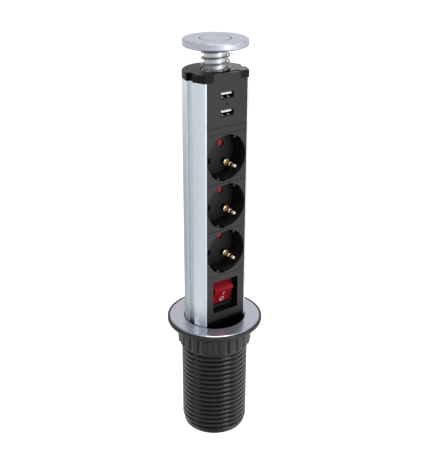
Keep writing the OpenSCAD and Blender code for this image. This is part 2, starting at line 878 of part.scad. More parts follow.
module socket_insert(i) {
    h = module_h - seam;
    cup_r = recess_r + cup_wall;
    tooth_deep = recess_r - tooth_h;
    mouth_r = recess_r + mouth_chamfer;
    color(charcoal)
        on_panel(outlet_z(i))
            difference() {
                union() {
                    difference() {
                        union() {
                            plate(module_h);
                            intersection() {
                                rod(cup_r, -floor_back, -plate_t / 2);
                                block(panel_w, h, -floor_back, 0);
                            }
                        }
                        rod(recess_r, -recess_depth, eps);
                        translate([0, 0, -mouth_chamfer])
                            cylinder(r1 = recess_r, r2 = mouth_r + eps, h = mouth_chamfer + eps);
                        for (half = [0, 180])
                            wall_sector(
                                notch_from + half, notch_span,
                                recess_r - eps, recess_r + notch_depth, notch_l
                            );
                    }
                    for (half = [0, 180])
                        rotate([0, 0, notch_from + notch_span / 2 + half])
                            translate([tooth_deep, -tooth_w / 2, -floor_back + eps])
                                cube([tooth_h + notch_depth + eps, tooth_w, floor_back - mouth_chamfer]);
                }
                at_pin_holes()
                    rod(pin_hole_d / 2, -floor_back - eps, -recess_depth + eps);
                at_earth_pin()
                    rod(earth_tail_d / 2 + fit_gap, -floor_back - eps, -recess_depth + eps);
            }
}

module earth_pin(i) {
    neck_z = -recess_depth + earth_collar_h;
    tip_z = -earth_tip_depth - earth_d / 2;
    color(brass)
        on_panel(outlet_z(i))
            at_earth_pin() {
                rod(earth_tail_d / 2, -carrier_back, -recess_depth + eps);
                rod(earth_collar_d / 2, -recess_depth, neck_z);
                rod(earth_neck_d / 2, neck_z - eps, neck_z + earth_neck_h + eps);
                rod(earth_d / 2, neck_z + earth_neck_h, tip_z);
                translate([0, 0, tip_z])
                    intersection() {
                        sphere(d = earth_d);
                        rod(earth_d, 0, earth_d);
                    }
            }
}

module shutter(i) {
    front = floor_back + (shutter_room - shutter_t) / 2;
    color(red)
        on_panel(outlet_z(i))
            rotate([0, 0, outlet_angle])
                block(pin_spacing + 2 * shutter_past, shutter_w, -front - shutter_t, -front);
}

module contact_carrier(i) {
    skirt_in = norm([pin_spacing / 2 + shutter_past, shutter_w / 2 + shutter_travel]) + stop_gap;
    skirt_r = skirt_in + skirt_wall;
    pocket_d = clip_d + 2 * rail_gap;
    color(black)
        on_panel(outlet_z(i))
            difference() {
                union() {
                    rod(skirt_r, -carrier_front - carrier_flange_t, -floor_back);
                    block(carrier_w, carrier_h, -carrier_back, -carrier_front);
                }
                rod(skirt_in, -carrier_front, -floor_back + eps);
                at_pin_holes() {
                    rod(pocket_d / 2, -clip_back, -carrier_front + eps);
                    rod(clip_tail_d / 2 + fit_gap, -carrier_back - eps, -clip_back + eps);
                }
                at_earth_pin()
                    rod(earth_tail_d / 2 + fit_gap, -carrier_back - eps, -carrier_front + eps);
            }
}

module contact_clips(i) {
    foot_t = clip_wall;
    color(brass)
        on_panel(outlet_z(i))
            at_pin_holes() {
                difference() {
                    rod(clip_d / 2, -clip_back, -clip_front);
                    rod(clip_d / 2 - clip_wall, -clip_back + foot_t, -clip_front + eps);
                    block(clip_d + eps, clip_slit, -clip_back + 2 * foot_t, -clip_front + eps);
                }
                rod(clip_tail_d / 2, -carrier_back, -clip_back + eps);
            }
}

// Busbars lie flat on the backs of the contact carriers, beside the tails that they join
bar_y = carrier_back - panel_off;
hole_x = pin_spacing / 2 * cos(outlet_angle);
earth_x = earth_off * cos(outlet_angle - 90);
live_x = hole_x - clip_tail_d / 4 - bar_w / 2;
neutral_x = -hole_x;
earth_bar_x = earth_x + earth_tail_d / 4 + bar_w / 2;

module busbar(x, z0, z1) {
    color(brass)
        translate([x - bar_w / 2, bar_y, z0])
            cube([bar_w, bar_t, z1 - z0]);
}

module live_busbar() {
    busbar(live_x, switch_z + terminal_off - bar_w, usb_z + bar_up);
}

module neutral_busbar() {
    busbar(neutral_x, switch_z + terminal_off - bar_w, usb_z + bar_up);
}

module earth_busbar() {
    busbar(earth_bar_x, profile_bottom + earth_bar_up, outlet_z(1));
}

// USB ports and their charger

// Puts children at both ports
module at_ports() {
    for (s = [-1, 1])
        translate([0, s * port_pitch / 2, 0])
            children();
}

module usb_front_plate() {
    top = tower_up - stop_gap;
    wide_h = profile_top - usb_z;
    neck_w = 2 * ear_x - 2 * panel_gap;
    color(charcoal)
        difference() {
            union() {
                on_panel(usb_z + wide_h / 2)
                    plate(wide_h);
                on_panel((usb_z + top) / 2)
                    block(neck_w, top - usb_z - seam, -tongue_depth - tongue_t, 0);
            }
            on_panel(ports_z) {
                at_ports()
                    block(
                        port_w + 2 * panel_gap, port_h + 2 * panel_gap,
                        -tongue_depth - tongue_t - eps, eps
                    );
                rod(light_d / 2 + fit_gap, -tongue_depth - tongue_t - eps, eps);
            }
        }
}

module usb_port_shells() {
    color(silver)
        on_panel(ports_z)
            at_ports()
                difference() {
                    block(port_w, port_h, -board_front, -port_sink);
                    block(port_w - 2 * shell_t, port_h - 2 * shell_t, -board_front + shell_t, eps);
                }
}

// The tongue sits in the upper part of its port
tongue_y = port_h / 2 - shell_t - port_tongue_t / 2 - shell_t;

module usb_port_tongues() {
    front = port_sink + port_tongue_sink;
    color(white)
        on_panel(ports_z)
            at_ports()
                translate([0, tongue_y, 0])
                    block(port_tongue_w, port_tongue_t, -board_front + shell_t, -front);
}

module usb_contacts() {
    front = port_sink + port_tongue_sink + contact_sink;
    color(brass)
        on_panel(ports_z)
            at_ports()
                for (k = [-1.5 : 1.5])
                    translate([k * contact_pitch, tongue_y - port_tongue_t / 2 - shell_t / 2, 0])
                        block(contact_w, shell_t, -board_front + shell_t, -front);
}

module usb_circuit_board() {
    color(green)
        on_panel(ports_z)
            translate([0, port_pitch / 2 + port_h / 2 - board_h / 2, 0])
                block(board_w, board_h, -board_front - board_t, -board_front);
}

module usb_light() {
    color(white)
        on_panel(ports_z)
            rod(light_d / 2, -board_front, -light_sink);
}

// Charger parts stand on the back of the circuit board
charger_z = ports_z + port_pitch / 2 + port_h / 2 - board_h;
charger_back = board_front + board_t;

module charger_transformer() {
    w = transformer_w;
    color(tape)
        on_panel(charger_z + w / 2)
            translate([-board_w / 4, 0, 0]) {
                block(w - winding_w, w, -charger_back - w, -charger_back);
                block(w, w / 2, -charger_back - w + core_t, -charger_back - core_t);
            }
}

module charger_capacitors() {
    color(can_black)
        on_panel(charger_z + can_d + stop_gap)
            for (s = [-1, 1])
                translate([board_w / 4, s * (can_d + stop_gap) / 2, 0])
                    rod(can_d / 2, -charger_back - can_l, -charger_back);
}

// Switch

module switch_plate() {
    color(charcoal)
        on_panel(switch_z)
            difference() {
                union() {
                    plate(module_h);
                    block(
                        pocket_w + 2 * pocket_wall, pocket_h + 2 * pocket_wall,
                        -pocket_depth - pocket_wall, -plate_t / 2
                    );
                }
                round_block(pocket_w, pocket_h, pocket_r, -pocket_depth, eps);
                block(
                    body_w + 2 * panel_gap, body_h + 2 * panel_gap,
                    -pocket_depth - pocket_wall - eps, -pocket_depth + eps
                );
            }
}

// The rocker's reach as it swings, its opening, and the switch body around it
swing_r = max(norm([rocker_face_h / 2, rocker_ridge]), norm([rocker_h / 2, rocker_back]));
opening_w = rocker_w + 2 * rocker_gap;
opening_h = 2 * (swing_r + rocker_gap);
body_w = opening_w + 2 * body_wall;
body_h = opening_h + 2 * body_wall;

module switch_frame() {
    color(black)
        on_panel(switch_z)
            difference() {
                round_block(
                    pocket_w - 2 * panel_gap, pocket_h - 2 * panel_gap, pocket_r - panel_gap,
                    -pocket_depth, -frame_face
                );
                block(opening_w, opening_h, -pocket_depth - eps, -frame_face + eps);
            }
}

// A rod along the rocker's pivot axis
module pivot_rod(r, w) {
    translate([0, 0, -pivot_z])
        rotate([0, 90, 0])
            rod(r, -w / 2, w / 2);
}

module switch_body() {
    half = rocker_throw / 2;
    dip = rocker_back * cos(half) + rocker_h / 2 * sin(half) + rocker_gap;
    color(black)
        on_panel(switch_z)
            difference() {
                block(body_w, body_h, -body_back, -pocket_depth);
                intersection() {
                    pivot_rod(swing_r + rocker_gap, opening_w);
                    block(opening_w, opening_h, -pivot_z - dip, 0);
                }
                block(opening_w, opening_h, -pivot_z, -pocket_depth + eps);
                pivot_rod(pivot_d / 2 + run_gap, body_w + 2 * eps);
            }
}

// The rocker's dished face runs between two ridges; its lower half is pressed in
module rocker() {
    face = rocker_face_h / 2;
    end = rocker_h / 2;
    color(red)
        on_panel(switch_z) {
            translate([0, 0, -pivot_z])
                rotate([rocker_throw / 2, 0, 0])
                    rotate([90, 0, 90])
                        translate([0, 0, -rocker_w / 2])
                            linear_extrude(rocker_w)
                                polygon([
                                    [-end, -rocker_back], [end, -rocker_back], [end, 0],
                                    [face, rocker_ridge], [0, rocker_ridge - rocker_dish],
                                    [-face, rocker_ridge], [-end, 0]
                                ]);
            pivot_rod(pivot_d / 2, body_w - 2 * run_gap);
        }
}

module switch_terminals() {
    color(brass)
        on_panel(switch_z)
            for (x = [live_x, neutral_x], y = [-terminal_off, terminal_off])
                translate([x, y, 0])
                    block(bar_w, bar_t, -carrier_back, -body_back);
}

// Cap, stem and spring

module cap_disc() {
    groove_r = cap_groove_d / 2;
    color(silver)
        difference() {
            rotate_extrude() {
                translate([0, cap_under])
                    square([cap_r - cap_round, cap_t]);
                translate([0, cap_under + cap_round])
                    square([cap_r, cap_t - 2 * cap_round]);
                for (z = [cap_under + cap_round, cap_top - cap_round])
                    translate([cap_r - cap_round, z])
                        circle(r = cap_round);
            }
            ring(groove_r - cap_groove, groove_r, cap_top - cap_groove, cap_top + eps);
            rod(stem_r + fit_gap, cap_under - eps, stem_top);
        }
}

module cap_stem() {
    hollow_r = post_head_d / 2 + rail_gap;
    hollow_top = cap_under - stem_roof;
    color(silver)
        difference() {
            rod(stem_r, stem_bottom, stem_top);
            rod(post_d / 2 + run_gap, stem_bottom - eps, hollow_top);
            rod(hollow_r, stem_bottom + stem_collar_t, hollow_top);
        }
}

module stem_post() {
    head_z = stem_bottom + stem_collar_t + stop_gap;
    color(silver)
        difference() {
            union() {
                rod(post_d / 2, hub_floor, head_z + eps);
                rod(post_head_d / 2, head_z, head_z + post_head_h);
            }
            rod(screw_d / 2 + fit_gap, hub_floor - eps, hub_floor + post_screw_l + stop_gap);
        }
}

module post_screw() {
    head_top = hub_floor - hub_wall;
    head_bottom = head_top - post_screw_head_h;
    color(charcoal)
        difference() {
            union() {
                rod(screw_d / 2, head_top - eps, hub_floor + post_screw_l);
                rod(screw_head_d / 2, head_bottom, head_top);
            }
            cross_slot(head_bottom - eps, head_bottom + post_screw_head_h / 2);
        }
}

// The spring's wire: a right-hand helix whose two ends run straight onto their seats
spring_steps = 8;
spring_sides = 6;
spring_l = cap_under - well_floor;
spring_end = 2 * wire_d;
function spring_point(i, steps) =
    let (t = i / steps, a = 360 * curls * t)
    [spring_r * cos(a), spring_r * sin(a), well_floor + spring_end + (spring_l - 2 * spring_end) * t];
spring_path = let (steps = curls * spring_steps) [
    [spring_r, 0, well_floor],
    [spring_r, 0, well_floor + wire_d],
    for (i = [1 : steps - 1]) spring_point(i, steps),
    let (p = spring_point(steps, steps)) [p[0], p[1], cap_under - wire_d],
    let (p = spring_point(steps, steps)) [p[0], p[1], cap_under]
];
function unit(v) = v / norm(v);
function path_way(p, i) =
    i <= 1 ? [0, 0, 1] : i >= len(p) - 2 ? [0, 0, 1] : unit(p[i + 1] - p[i - 1]);
function wire_ring(p, i) =
    let (
        way = path_way(p, i),
        out = unit([p[i][0], p[i][1], 0]),
        side = unit(cross(way, out)),
        up = cross(side, way)
    )
    [for (k = [0 : spring_sides - 1])
        let (a = 360 * k / spring_sides)
        p[i] + wire_d / 2 * (cos(a) * up + sin(a) * side)];

// Least gap between the wire's own turns, measured on its centre line's points
function turn_gaps(p) = [
    for (i = [0 : len(p) - 1], j = [i + spring_steps / 2 : 1 : len(p) - 1])
        if (j > i) norm(p[i] - p[j]) - wire_d
];
echo(spring_least_gap = min(turn_gaps(spring_path)));

module lift_spring() {
    color(aluminium)
        skin([for (i = [0 : len(spring_path) - 1]) wire_ring(spring_path, i)]);
}

threaded_sleeve();
mounting_flange();
trim_ring();
guide_rails();
clamp_washer();
clamp_nut();
tower_profile();
top_end_cap();
bottom_end_cap();
top_cap_screws();
bottom_cap_screws();
usb_front_plate();
usb_port_shells();
usb_port_tongues();
usb_contacts();
usb_circuit_board();
usb_light();
charger_transformer();
charger_capacitors();
spacer_plate();
socket_insert(1);  // socket_insert_1
socket_insert(2);  // socket_insert_2
socket_insert(3);  // socket_insert_3
earth_pin(1);  // earth_pin_1
earth_pin(2);  // earth_pin_2
earth_pin(3);  // earth_pin_3
shutter(1);  // shutter_1
shutter(2);  // shutter_2
shutter(3);  // shutter_3
contact_carrier(1);  // contact_carrier_1
contact_carrier(2);  // contact_carrier_2
contact_carrier(3);  // contact_carrier_3
contact_clips(1);  // contact_clips_1
contact_clips(2);  // contact_clips_2
contact_clips(3);  // contact_clips_3
live_busbar();
neutral_busbar();
earth_busbar();
switch_plate();
switch_frame();
switch_body();
rocker();
switch_terminals();
lower_blank_plate();
cable_gland();
cap_disc();
cap_stem();
stem_post();
post_screw();
lift_spring();
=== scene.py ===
# Dresses the pop up desk socket: finer round pieces, finishes, studio light and the camera.
# Lengths are in metres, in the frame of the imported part: +Z up, the outlets face -Y.
import json
import math

import bmesh
import bpy
from mathutils import Matrix, Vector


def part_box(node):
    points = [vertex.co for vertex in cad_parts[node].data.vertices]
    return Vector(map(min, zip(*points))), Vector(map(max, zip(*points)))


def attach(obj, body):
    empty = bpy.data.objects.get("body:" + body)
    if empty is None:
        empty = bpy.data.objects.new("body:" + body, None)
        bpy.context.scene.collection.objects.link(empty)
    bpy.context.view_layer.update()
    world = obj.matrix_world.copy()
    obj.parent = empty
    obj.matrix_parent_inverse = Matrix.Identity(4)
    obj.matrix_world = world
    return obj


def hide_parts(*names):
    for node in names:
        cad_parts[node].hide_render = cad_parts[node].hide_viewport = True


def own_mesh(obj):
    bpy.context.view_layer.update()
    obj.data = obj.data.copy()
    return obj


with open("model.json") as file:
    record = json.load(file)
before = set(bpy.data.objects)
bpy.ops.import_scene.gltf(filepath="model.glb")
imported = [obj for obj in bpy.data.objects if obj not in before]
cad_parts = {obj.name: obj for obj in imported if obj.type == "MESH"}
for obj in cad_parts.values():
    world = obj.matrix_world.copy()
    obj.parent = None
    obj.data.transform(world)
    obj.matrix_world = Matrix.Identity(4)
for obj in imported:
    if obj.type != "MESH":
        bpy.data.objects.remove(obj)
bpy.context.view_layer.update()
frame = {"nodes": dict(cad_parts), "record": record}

MM = 0.001


# Places on the part that its finishes and its pieces share

PANEL_Y = -16.4 * MM
CAP_TOP_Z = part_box("top_end_cap")[1].z
# The lower plate's painted shade: darkest just over the trim ring's top, gone at the plate's top
FOOT_CLEAR = 2.2 * MM
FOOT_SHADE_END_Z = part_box("lower_blank_plate")[1].z
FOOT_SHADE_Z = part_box("trim_ring")[1].z + FOOT_CLEAR
# Where the pin's colours change: its dark foot is painted shade, its brown neck a painted dark reflection and
# its pale tip a painted highlight
PIN_FOOT_Y = -2.6 * MM
PIN_NECK_Y = -9.0 * MM
PIN_TIP_Y = -11.8 * MM
PIVOT_Y = -5.0 * MM
PIVOT_Z = 30.65 * MM
ROCKER_FACE = 8.5 * MM
ROCKER_LEAN = math.radians(23)


# Finishes

CLOUD = 9 * MM
GRAIN = 0.3 * MM
GRAIN_DEPTH = 0.008 * MM
FINE_DETAIL = 3.0
PANEL_GLOSS = 0.38


class Value:
    """A shader socket that takes part in Python sums: each sum adds a Math node."""

    def __init__(self, finish, socket):
        self.finish = finish
        self.socket = socket

    def math(self, operation, first, second):
        return self.finish.node("ShaderNodeMath", {"operation": operation}, {0: first, 1: second})

    def __add__(self, other):
        return self.math("ADD", self, other)

    def __radd__(self, other):
        return self.math("ADD", other, self)

    def __sub__(self, other):
        return self.math("SUBTRACT", self, other)

    def __rsub__(self, other):
        return self.math("SUBTRACT", other, self)

    def __mul__(self, other):
        return self.math("MULTIPLY", self, other)

    def __rmul__(self, other):
        return self.math("MULTIPLY", other, self)

    def __pow__(self, other):
        return self.math("POWER", self, other)

    def __rpow__(self, other):
        return self.math("POWER", other, self)


def shade(colour, share):
    """The colour made lighter or darker by a share."""
    return tuple(min(1.0, c * share) for c in colour)


class Finish:
    """A node tree under construction: a material's or the world's."""

    def __init__(self, tree):
        self.tree = tree
        tree.nodes.clear()

    def node(self, kind, settings=None, sockets=None, output=0):
        """A new node: its settings first, then its sockets' values or links; gives one output."""
        made = self.tree.nodes.new(kind)
        for name, value in (settings or {}).items():
            setattr(made, name, value)
        for key, value in (sockets or {}).items():
            if isinstance(value, Value):
                self.tree.links.new(value.socket, made.inputs[key])
            else:
                made.inputs[key].default_value = value
        return Value(self, made.outputs[output]) if made.outputs else None

    def place(self, stretch=(1.0, 1.0, 1.0)):
        """Where a point lies on the part, with each axis stretched."""
        spot = self.node("ShaderNodeTexCoord", output="Object")
        return self.node("ShaderNodeVectorMath", {"operation": "MULTIPLY"}, {0: spot, 1: stretch})

    def noise(self, size, detail=2.0, stretch=(1.0, 1.0, 1.0)):
        """Soft noise from 0 to 1 whose blotches are about that size."""
        sockets = {"Vector": self.place(stretch), "Scale": 1.0 / size, "Detail": detail}
        return self.node("ShaderNodeTexNoise", None, sockets)

    def rings(self, size):
        """Fine turned rings about the tower's axis, from 0 to 1."""
        spot = self.place((1.0, 1.0, 0.0))
        radius = self.node("ShaderNodeVectorMath", {"operation": "LENGTH"}, {0: spot}, "Value")
        sockets = {"W": radius * (1.0 / size), "Scale": 1.0, "Detail": 2.0}
        return self.node("ShaderNodeTexNoise", {"noise_dimensions": "1D"}, sockets)

    def along(self, axis):
        """How far along X, Y or Z a point lies on the part."""
        spot = self.node("ShaderNodeTexCoord", output="Object")
        return self.node("ShaderNodeSeparateXYZ", None, {0: spot}, axis)

    def step(self, value, start, end):
        """A smooth step from 0 at the start to 1 at the end."""
        sockets = {"Value": value, "From Min": start, "From Max": end}
        return self.node("ShaderNodeMapRange", {"interpolation_type": "SMOOTHSTEP"}, sockets)

    def colour(self, factor, first, second):
        """A colour between two others."""
        first = first if isinstance(first, Value) else (*first, 1.0)
        second = second if isinstance(second, Value) else (*second, 1.0)
        sockets = {0: factor, 6: first, 7: second}
        return self.node("ShaderNodeMix", {"data_type": "RGBA"}, sockets, 2)

    def tint(self, factor, colour, darker=0.9, lighter=1.1):
        """The colour, darker where the factor is 0 and lighter where it is 1."""
        return self.colour(factor, shade(colour, darker), shade(colour, lighter))

    def bump(self, height, distance):
        """A normal that follows a height from 0 to 1, which stands for that distance."""
        sockets = {"Strength": 1.0, "Distance": distance, "Height": height}
        return self.node("ShaderNodeBump", None, sockets)

    def surface(self, **sockets):
        """The shader of the whole material, from sockets named with _ for a space."""
        named = {name.replace("_", " "): value for name, value in sockets.items()}
        shader = self.node("ShaderNodeBsdfPrincipled", None, named)
        self.node("ShaderNodeOutputMaterial", None, {"Surface": shader})


def new_finish(name):
    """An empty material and its tree."""
    material = bpy.data.materials.new(name)
    material.use_nodes = True
    return material, Finish(material.node_tree)


def moulding(name, colour, roughness, grain, depth, gloss=0.5):
    """Moulded plastic with a fine grain and a faint cloudiness."""
    material, f = new_finish(name)
    cloud = f.noise(CLOUD)
    fine = f.noise(grain, FINE_DETAIL)
    f.surface(
        Base_Color=f.tint(cloud, colour),
        Roughness=roughness - 0.05 + 0.06 * cloud + 0.06 * fine,
        Normal=f.bump(fine, depth),
        Specular_IOR_Level=gloss,
    )
    return material


def socket_moulding(name, face, recess_shade):
    """A grained face in front of a smooth recess, painted darker as painted shade."""
    material, f = new_finish(name)
    inside = f.step(f.along("Y"), PANEL_Y + 0.15 * MM, PANEL_Y + 0.45 * MM)
    fine = f.noise(GRAIN, FINE_DETAIL)
    cloud = f.noise(CLOUD)
    tone = f.tint(cloud, face)
    f.surface(
        Base_Color=f.colour(inside, tone, recess_shade),
        Roughness=0.37 + 0.06 * fine + 0.08 * inside,
        Normal=f.bump(fine * (1.0 - inside), GRAIN_DEPTH),
        Specular_IOR_Level=PANEL_GLOSS,
    )
    return material


def cap_moulding(name, colour):
    """A smooth black moulding whose top is more polished towards one side."""
    material, f = new_finish(name)
    cloud = f.noise(CLOUD)
    polish = f.step(f.along("X") - 0.4 * f.along("Y"), -16 * MM, 12 * MM)
    top = f.step(f.along("Z"), CAP_TOP_Z - 0.5 * MM, CAP_TOP_Z - 0.1 * MM)
    f.surface(
        Base_Color=f.tint(cloud, colour),
        Roughness=0.40 + (0.02 - 0.29 * polish) * top + 0.03 * cloud,
        Specular_IOR_Level=0.16,
    )
    return material


def shaded_foot_moulding(name, colour, foot):
    """A grained face that fades to a darker foot just over the trim ring: the darker foot is painted shade.
    """
    material, f = new_finish(name)
    fine = f.noise(GRAIN, FINE_DETAIL)
    up = f.step(f.along("Z"), FOOT_SHADE_Z, FOOT_SHADE_END_Z)
    f.surface(
        Base_Color=f.colour(up, foot, colour),
        Roughness=0.39 + 0.06 * fine,
        Normal=f.bump(fine, GRAIN_DEPTH),
        Specular_IOR_Level=0.05,
    )
    return material


def shutter_plastic(name, colour, dark):
    """A red shutter painted near black on the side of one pin hole: the dark side is painted shade."""
    material, f = new_finish(name)
    fine = f.noise(0.4 * MM, FINE_DETAIL)
    side = f.step(f.along("X"), -0.5 * MM, 0.5 * MM)
    f.surface(
        Base_Color=f.colour(side, dark, colour),
        Roughness=0.28 + 0.06 * fine,
        Normal=f.bump(fine, 0.003 * MM),
    )
    return material


def pin_metal(name, foot, collar, painted_neck_reflection, tip):
    """A turned pin with fine turned lines: a dark foot that is painted shade, a brass collar, a brown neck
    that is a painted dark reflection and a pale tip that is a painted highlight.
    """
    material, f = new_finish(name)
    depth = f.along("Y")

    def past(place, blur):
        return f.step(depth, place + blur, place - blur)

    far = past(PIN_TIP_Y, 0.4 * MM)
    beyond = past(PIN_NECK_Y, 0.2 * MM)
    bare = past(PIN_FOOT_Y, 0.2 * MM)
    lines = f.noise(0.35 * MM, FINE_DETAIL, (1.0, 6.0, 1.0))
    f.surface(
        Base_Color=f.colour(bare, foot, f.colour(beyond, collar, f.colour(far, painted_neck_reflection, tip))),
        Metallic=0.55 * (bare - far),
        Roughness=0.16 + 0.12 * lines,
        Normal=f.bump(lines, 0.01 * MM),
    )
    return material


def drawn_metal(name, colour, roughness, streak):
    """Metal drawn along Z: long streaks in its colour, gloss and surface."""
    material, f = new_finish(name)
    lines = f.noise(streak, FINE_DETAIL, (1.0, 1.0, 0.006))
    cloud = f.noise(14 * MM)
    f.surface(
        Base_Color=f.tint(lines, colour, 0.95, 1.04),
        Metallic=1.0,
        Roughness=roughness - 0.04 + 0.06 * lines + 0.03 * cloud,
        Normal=f.bump(lines, 0.006 * MM),
    )
    return material


def turned_metal(name, colour, roughness, ring, metal=1.0):
    """Metal or metal paint turned about the tower's axis: fine rings in its gloss and surface."""
    material, f = new_finish(name)
    lines = f.rings(ring)
    cloud = f.noise(7 * MM)
    f.surface(
        Base_Color=f.tint(cloud, colour, 0.97, 1.03),
        Metallic=metal,
        Roughness=roughness - 0.04 + 0.05 * lines + 0.03 * cloud,
        Normal=f.bump(lines, 0.004 * MM),
    )
    return material


def worked_metal(name, colour, roughness, mark):
    """Small metal parts with fine random marks."""
    material, f = new_finish(name)
    marks = f.noise(mark, 4.0)
    cloud = f.noise(2.5 * MM)
    f.surface(
        Base_Color=f.tint(cloud, colour, 0.88, 1.08),
        Metallic=1.0,
        Roughness=roughness - 0.05 + 0.08 * marks + 0.04 * cloud,
        Normal=f.bump(marks, 0.004 * MM),
    )
    return material


def rocker_plastic(name, colour, painted_end_shade, roughness):
    """Red plastic with a smooth skin, darker and rougher on the slanted ends beyond the ridges: the darker
    ends are painted shade from the pocket's edge.
    """
    material, f = new_finish(name)
    cloud = f.noise(6 * MM)
    fine = f.noise(0.4 * MM, FINE_DETAIL)
    up = f.along("Z") - PIVOT_Z
    out = PIVOT_Y - f.along("Y")
    along_face = math.cos(ROCKER_LEAN) * up + math.sin(ROCKER_LEAN) * out
    beyond = f.step(along_face ** 2.0, (ROCKER_FACE + 0.6 * MM) ** 2, (ROCKER_FACE + 0.8 * MM) ** 2)
    tone = f.tint(cloud, colour)
    f.surface(
        Base_Color=f.colour(beyond, tone, painted_end_shade),
        Roughness=roughness - 0.03 + 0.04 * fine + 0.03 * cloud + 0.2 * beyond,
        Normal=f.bump(fine, 0.002 * MM),
        Specular_IOR_Level=0.12,
    )
    return material


# For each finish the function that makes it, then what that function asks for after the name
LOOKS = {
    "black_moulding": (moulding, (0.006, 0.006, 0.007), 0.24, 0.35 * MM, 0.003 * MM, PANEL_GLOSS),
    "fixing_black": (moulding, (0.014, 0.014, 0.0155), 0.28, 0.35 * MM, 0.003 * MM, PANEL_GLOSS),
    "gloss_black": (moulding, (0.006, 0.006, 0.007), 0.30, 0.5 * MM, 0.001 * MM, 0.22),
    "charcoal_moulding": (moulding, (0.016, 0.0155, 0.0185), 0.37, GRAIN, GRAIN_DEPTH, PANEL_GLOSS),
    "end_cap_black": (cap_moulding, (0.003, 0.003, 0.0035)),
    # socket_charcoal: the face's colour, then the recess's darker colour, which is painted shade
    "socket_charcoal": (socket_moulding, (0.016, 0.0155, 0.0185), (0.005, 0.005, 0.0055)),
    # foot_charcoal: the plate's colour, then its darker foot, which is painted shade
    "foot_charcoal": (shaded_foot_moulding, (0.026, 0.0255, 0.029), (0.0008, 0.0008, 0.0009)),
    # The pocket's inside: blacker than the plate's moulding, as painted shade
    "pocket_black": (moulding, (0.004, 0.004, 0.0045), 0.55, GRAIN, 0.001 * MM, 0.06),
    "washer_rubber": (moulding, (0.012, 0.012, 0.013), 0.62, 0.25 * MM, 0.01 * MM, 0.4),
    "white_insulator": (moulding, (0.85, 0.85, 0.84), 0.42, GRAIN, 0.003 * MM),
    "smoked_light": (moulding, (0.006, 0.006, 0.007), 0.25, 0.4 * MM, 0.001 * MM, 0.2),
    "board_green": (moulding, (0.02, 0.16, 0.07), 0.35, 0.6 * MM, 0.004 * MM),
    "transformer_tape": (moulding, (0.60, 0.47, 0.08), 0.45, 0.8 * MM, 0.01 * MM),
    # shutter_red: the red, then the near black of one hole's side, which is painted shade
    "shutter_red": (shutter_plastic, (0.50, 0.035, 0.047), (0.004, 0.003, 0.003)),
    "mark_white": (moulding, (0.88, 0.74, 0.74), 0.40, GRAIN, 0.002 * MM),
    "anodised_aluminium": (drawn_metal, (0.655, 0.72, 0.755), 0.34, 0.25 * MM),
    "capacitor_can": (drawn_metal, (0.10, 0.11, 0.14), 0.40, 0.4 * MM),
    "satin_silver": (turned_metal, (0.47, 0.495, 0.56), 0.46, 0.12 * MM, 0.9),
    "ring_silver": (turned_metal, (0.45, 0.465, 0.535), 0.28, 3 * MM, 0.8),
    "stem_chrome": (turned_metal, (0.52, 0.54, 0.57), 0.44, 0.1 * MM),
    "dark_screw": (worked_metal, (0.02, 0.02, 0.022), 0.42, GRAIN),
    "groove_shadow": (worked_metal, (0.05, 0.05, 0.06), 0.5, GRAIN),
    "nickel_shell": (worked_metal, (0.06, 0.06, 0.062), 0.34, GRAIN),
    "bright_nickel": (worked_metal, (0.75, 0.75, 0.72), 0.3, GRAIN),
    "brass_contact": (worked_metal, (0.50, 0.34, 0.17), 0.55, 0.25 * MM),
    # pin_brass: foot, collar, neck and tip colours; the foot is painted shade, the neck a painted dark
    # reflection, the tip a painted highlight
    "pin_brass": (pin_metal, (0.006, 0.006, 0.006), (1.0, 0.66, 0.36), (0.10, 0.035, 0.02),
                  (1.0, 0.94, 0.72)),
    "spring_steel": (worked_metal, (0.26, 0.27, 0.29), 0.28, GRAIN),
    # rocker_red: the face's red, then the darker red of the slanted ends, which is painted shade
    "rocker_red": (rocker_plastic, (0.31, 0.006, 0.011), (0.24, 0.004, 0.009), 0.34),
}
FINISHES = {name: make(name, *look) for name, (make, *look) in LOOKS.items()}


# Mesh tools

MERGE = 0.0005 * MM


def eased(share):
    """A smooth step from 0 to 1."""
    share = min(1.0, max(0.0, share))
    return share * share * (3 - 2 * share)


def rounded(corners, steps=6):
    """The points of a closed outline whose corners (x, y, radius) are rounded by arcs."""
    points = []
    count = len(corners)
    for i, (x, y, radius) in enumerate(corners):
        here = Vector((x, y))
        if not radius:
            points.append(here)
            continue
        back = (Vector(corners[i - 1][:2]) - here).normalized()
        ahead = (Vector(corners[(i + 1) % count][:2]) - here).normalized()
        half = back.angle(ahead) / 2
        centre = here + (back + ahead).normalized() * (radius / math.sin(half))
        reach = radius / math.tan(half)
        first = here + back * reach - centre
        last = here + ahead * reach - centre
        start = math.atan2(first.y, first.x)
        turn = (math.atan2(last.y, last.x) - start + math.pi) % (2 * math.pi) - math.pi
        for k in range(steps + 1):
            angle = start + turn * k / steps
            points.append(centre + radius * Vector((math.cos(angle), math.sin(angle))))
    return points


def oblong(x, y, w, h, radius, steps=6):
    """The points of an oblong about its middle, with rounded corners."""
    return rounded([
        (x - w / 2, y - h / 2, radius), (x + w / 2, y - h / 2, radius),
        (x + w / 2, y + h / 2, radius), (x - w / 2, y + h / 2, radius),
    ], steps)


def polar(r, angle, z):
    """The point at a radius and an angle about Z."""
    return (r * math.cos(angle), r * math.sin(angle), z)


def angles(count):
    """Even angles round a full turn."""
    return [2 * math.pi * i / count for i in range(count)]


def banded(loops, closed=True):
    """Points and faces between closed loops of points; if closed, the last loop joins the first."""
    sides = len(loops[0])
    points = [p for loop in loops for p in loop]
    faces = []
    for i in range(len(loops) if closed else len(loops) - 1):
        above = (i + 1) % len(loops) * sides
        for k in range(sides):
            ahead = (k + 1) % sides
            faces.append((i * sides + k, i * sides + ahead, above + ahead, above + k))
    return points, faces


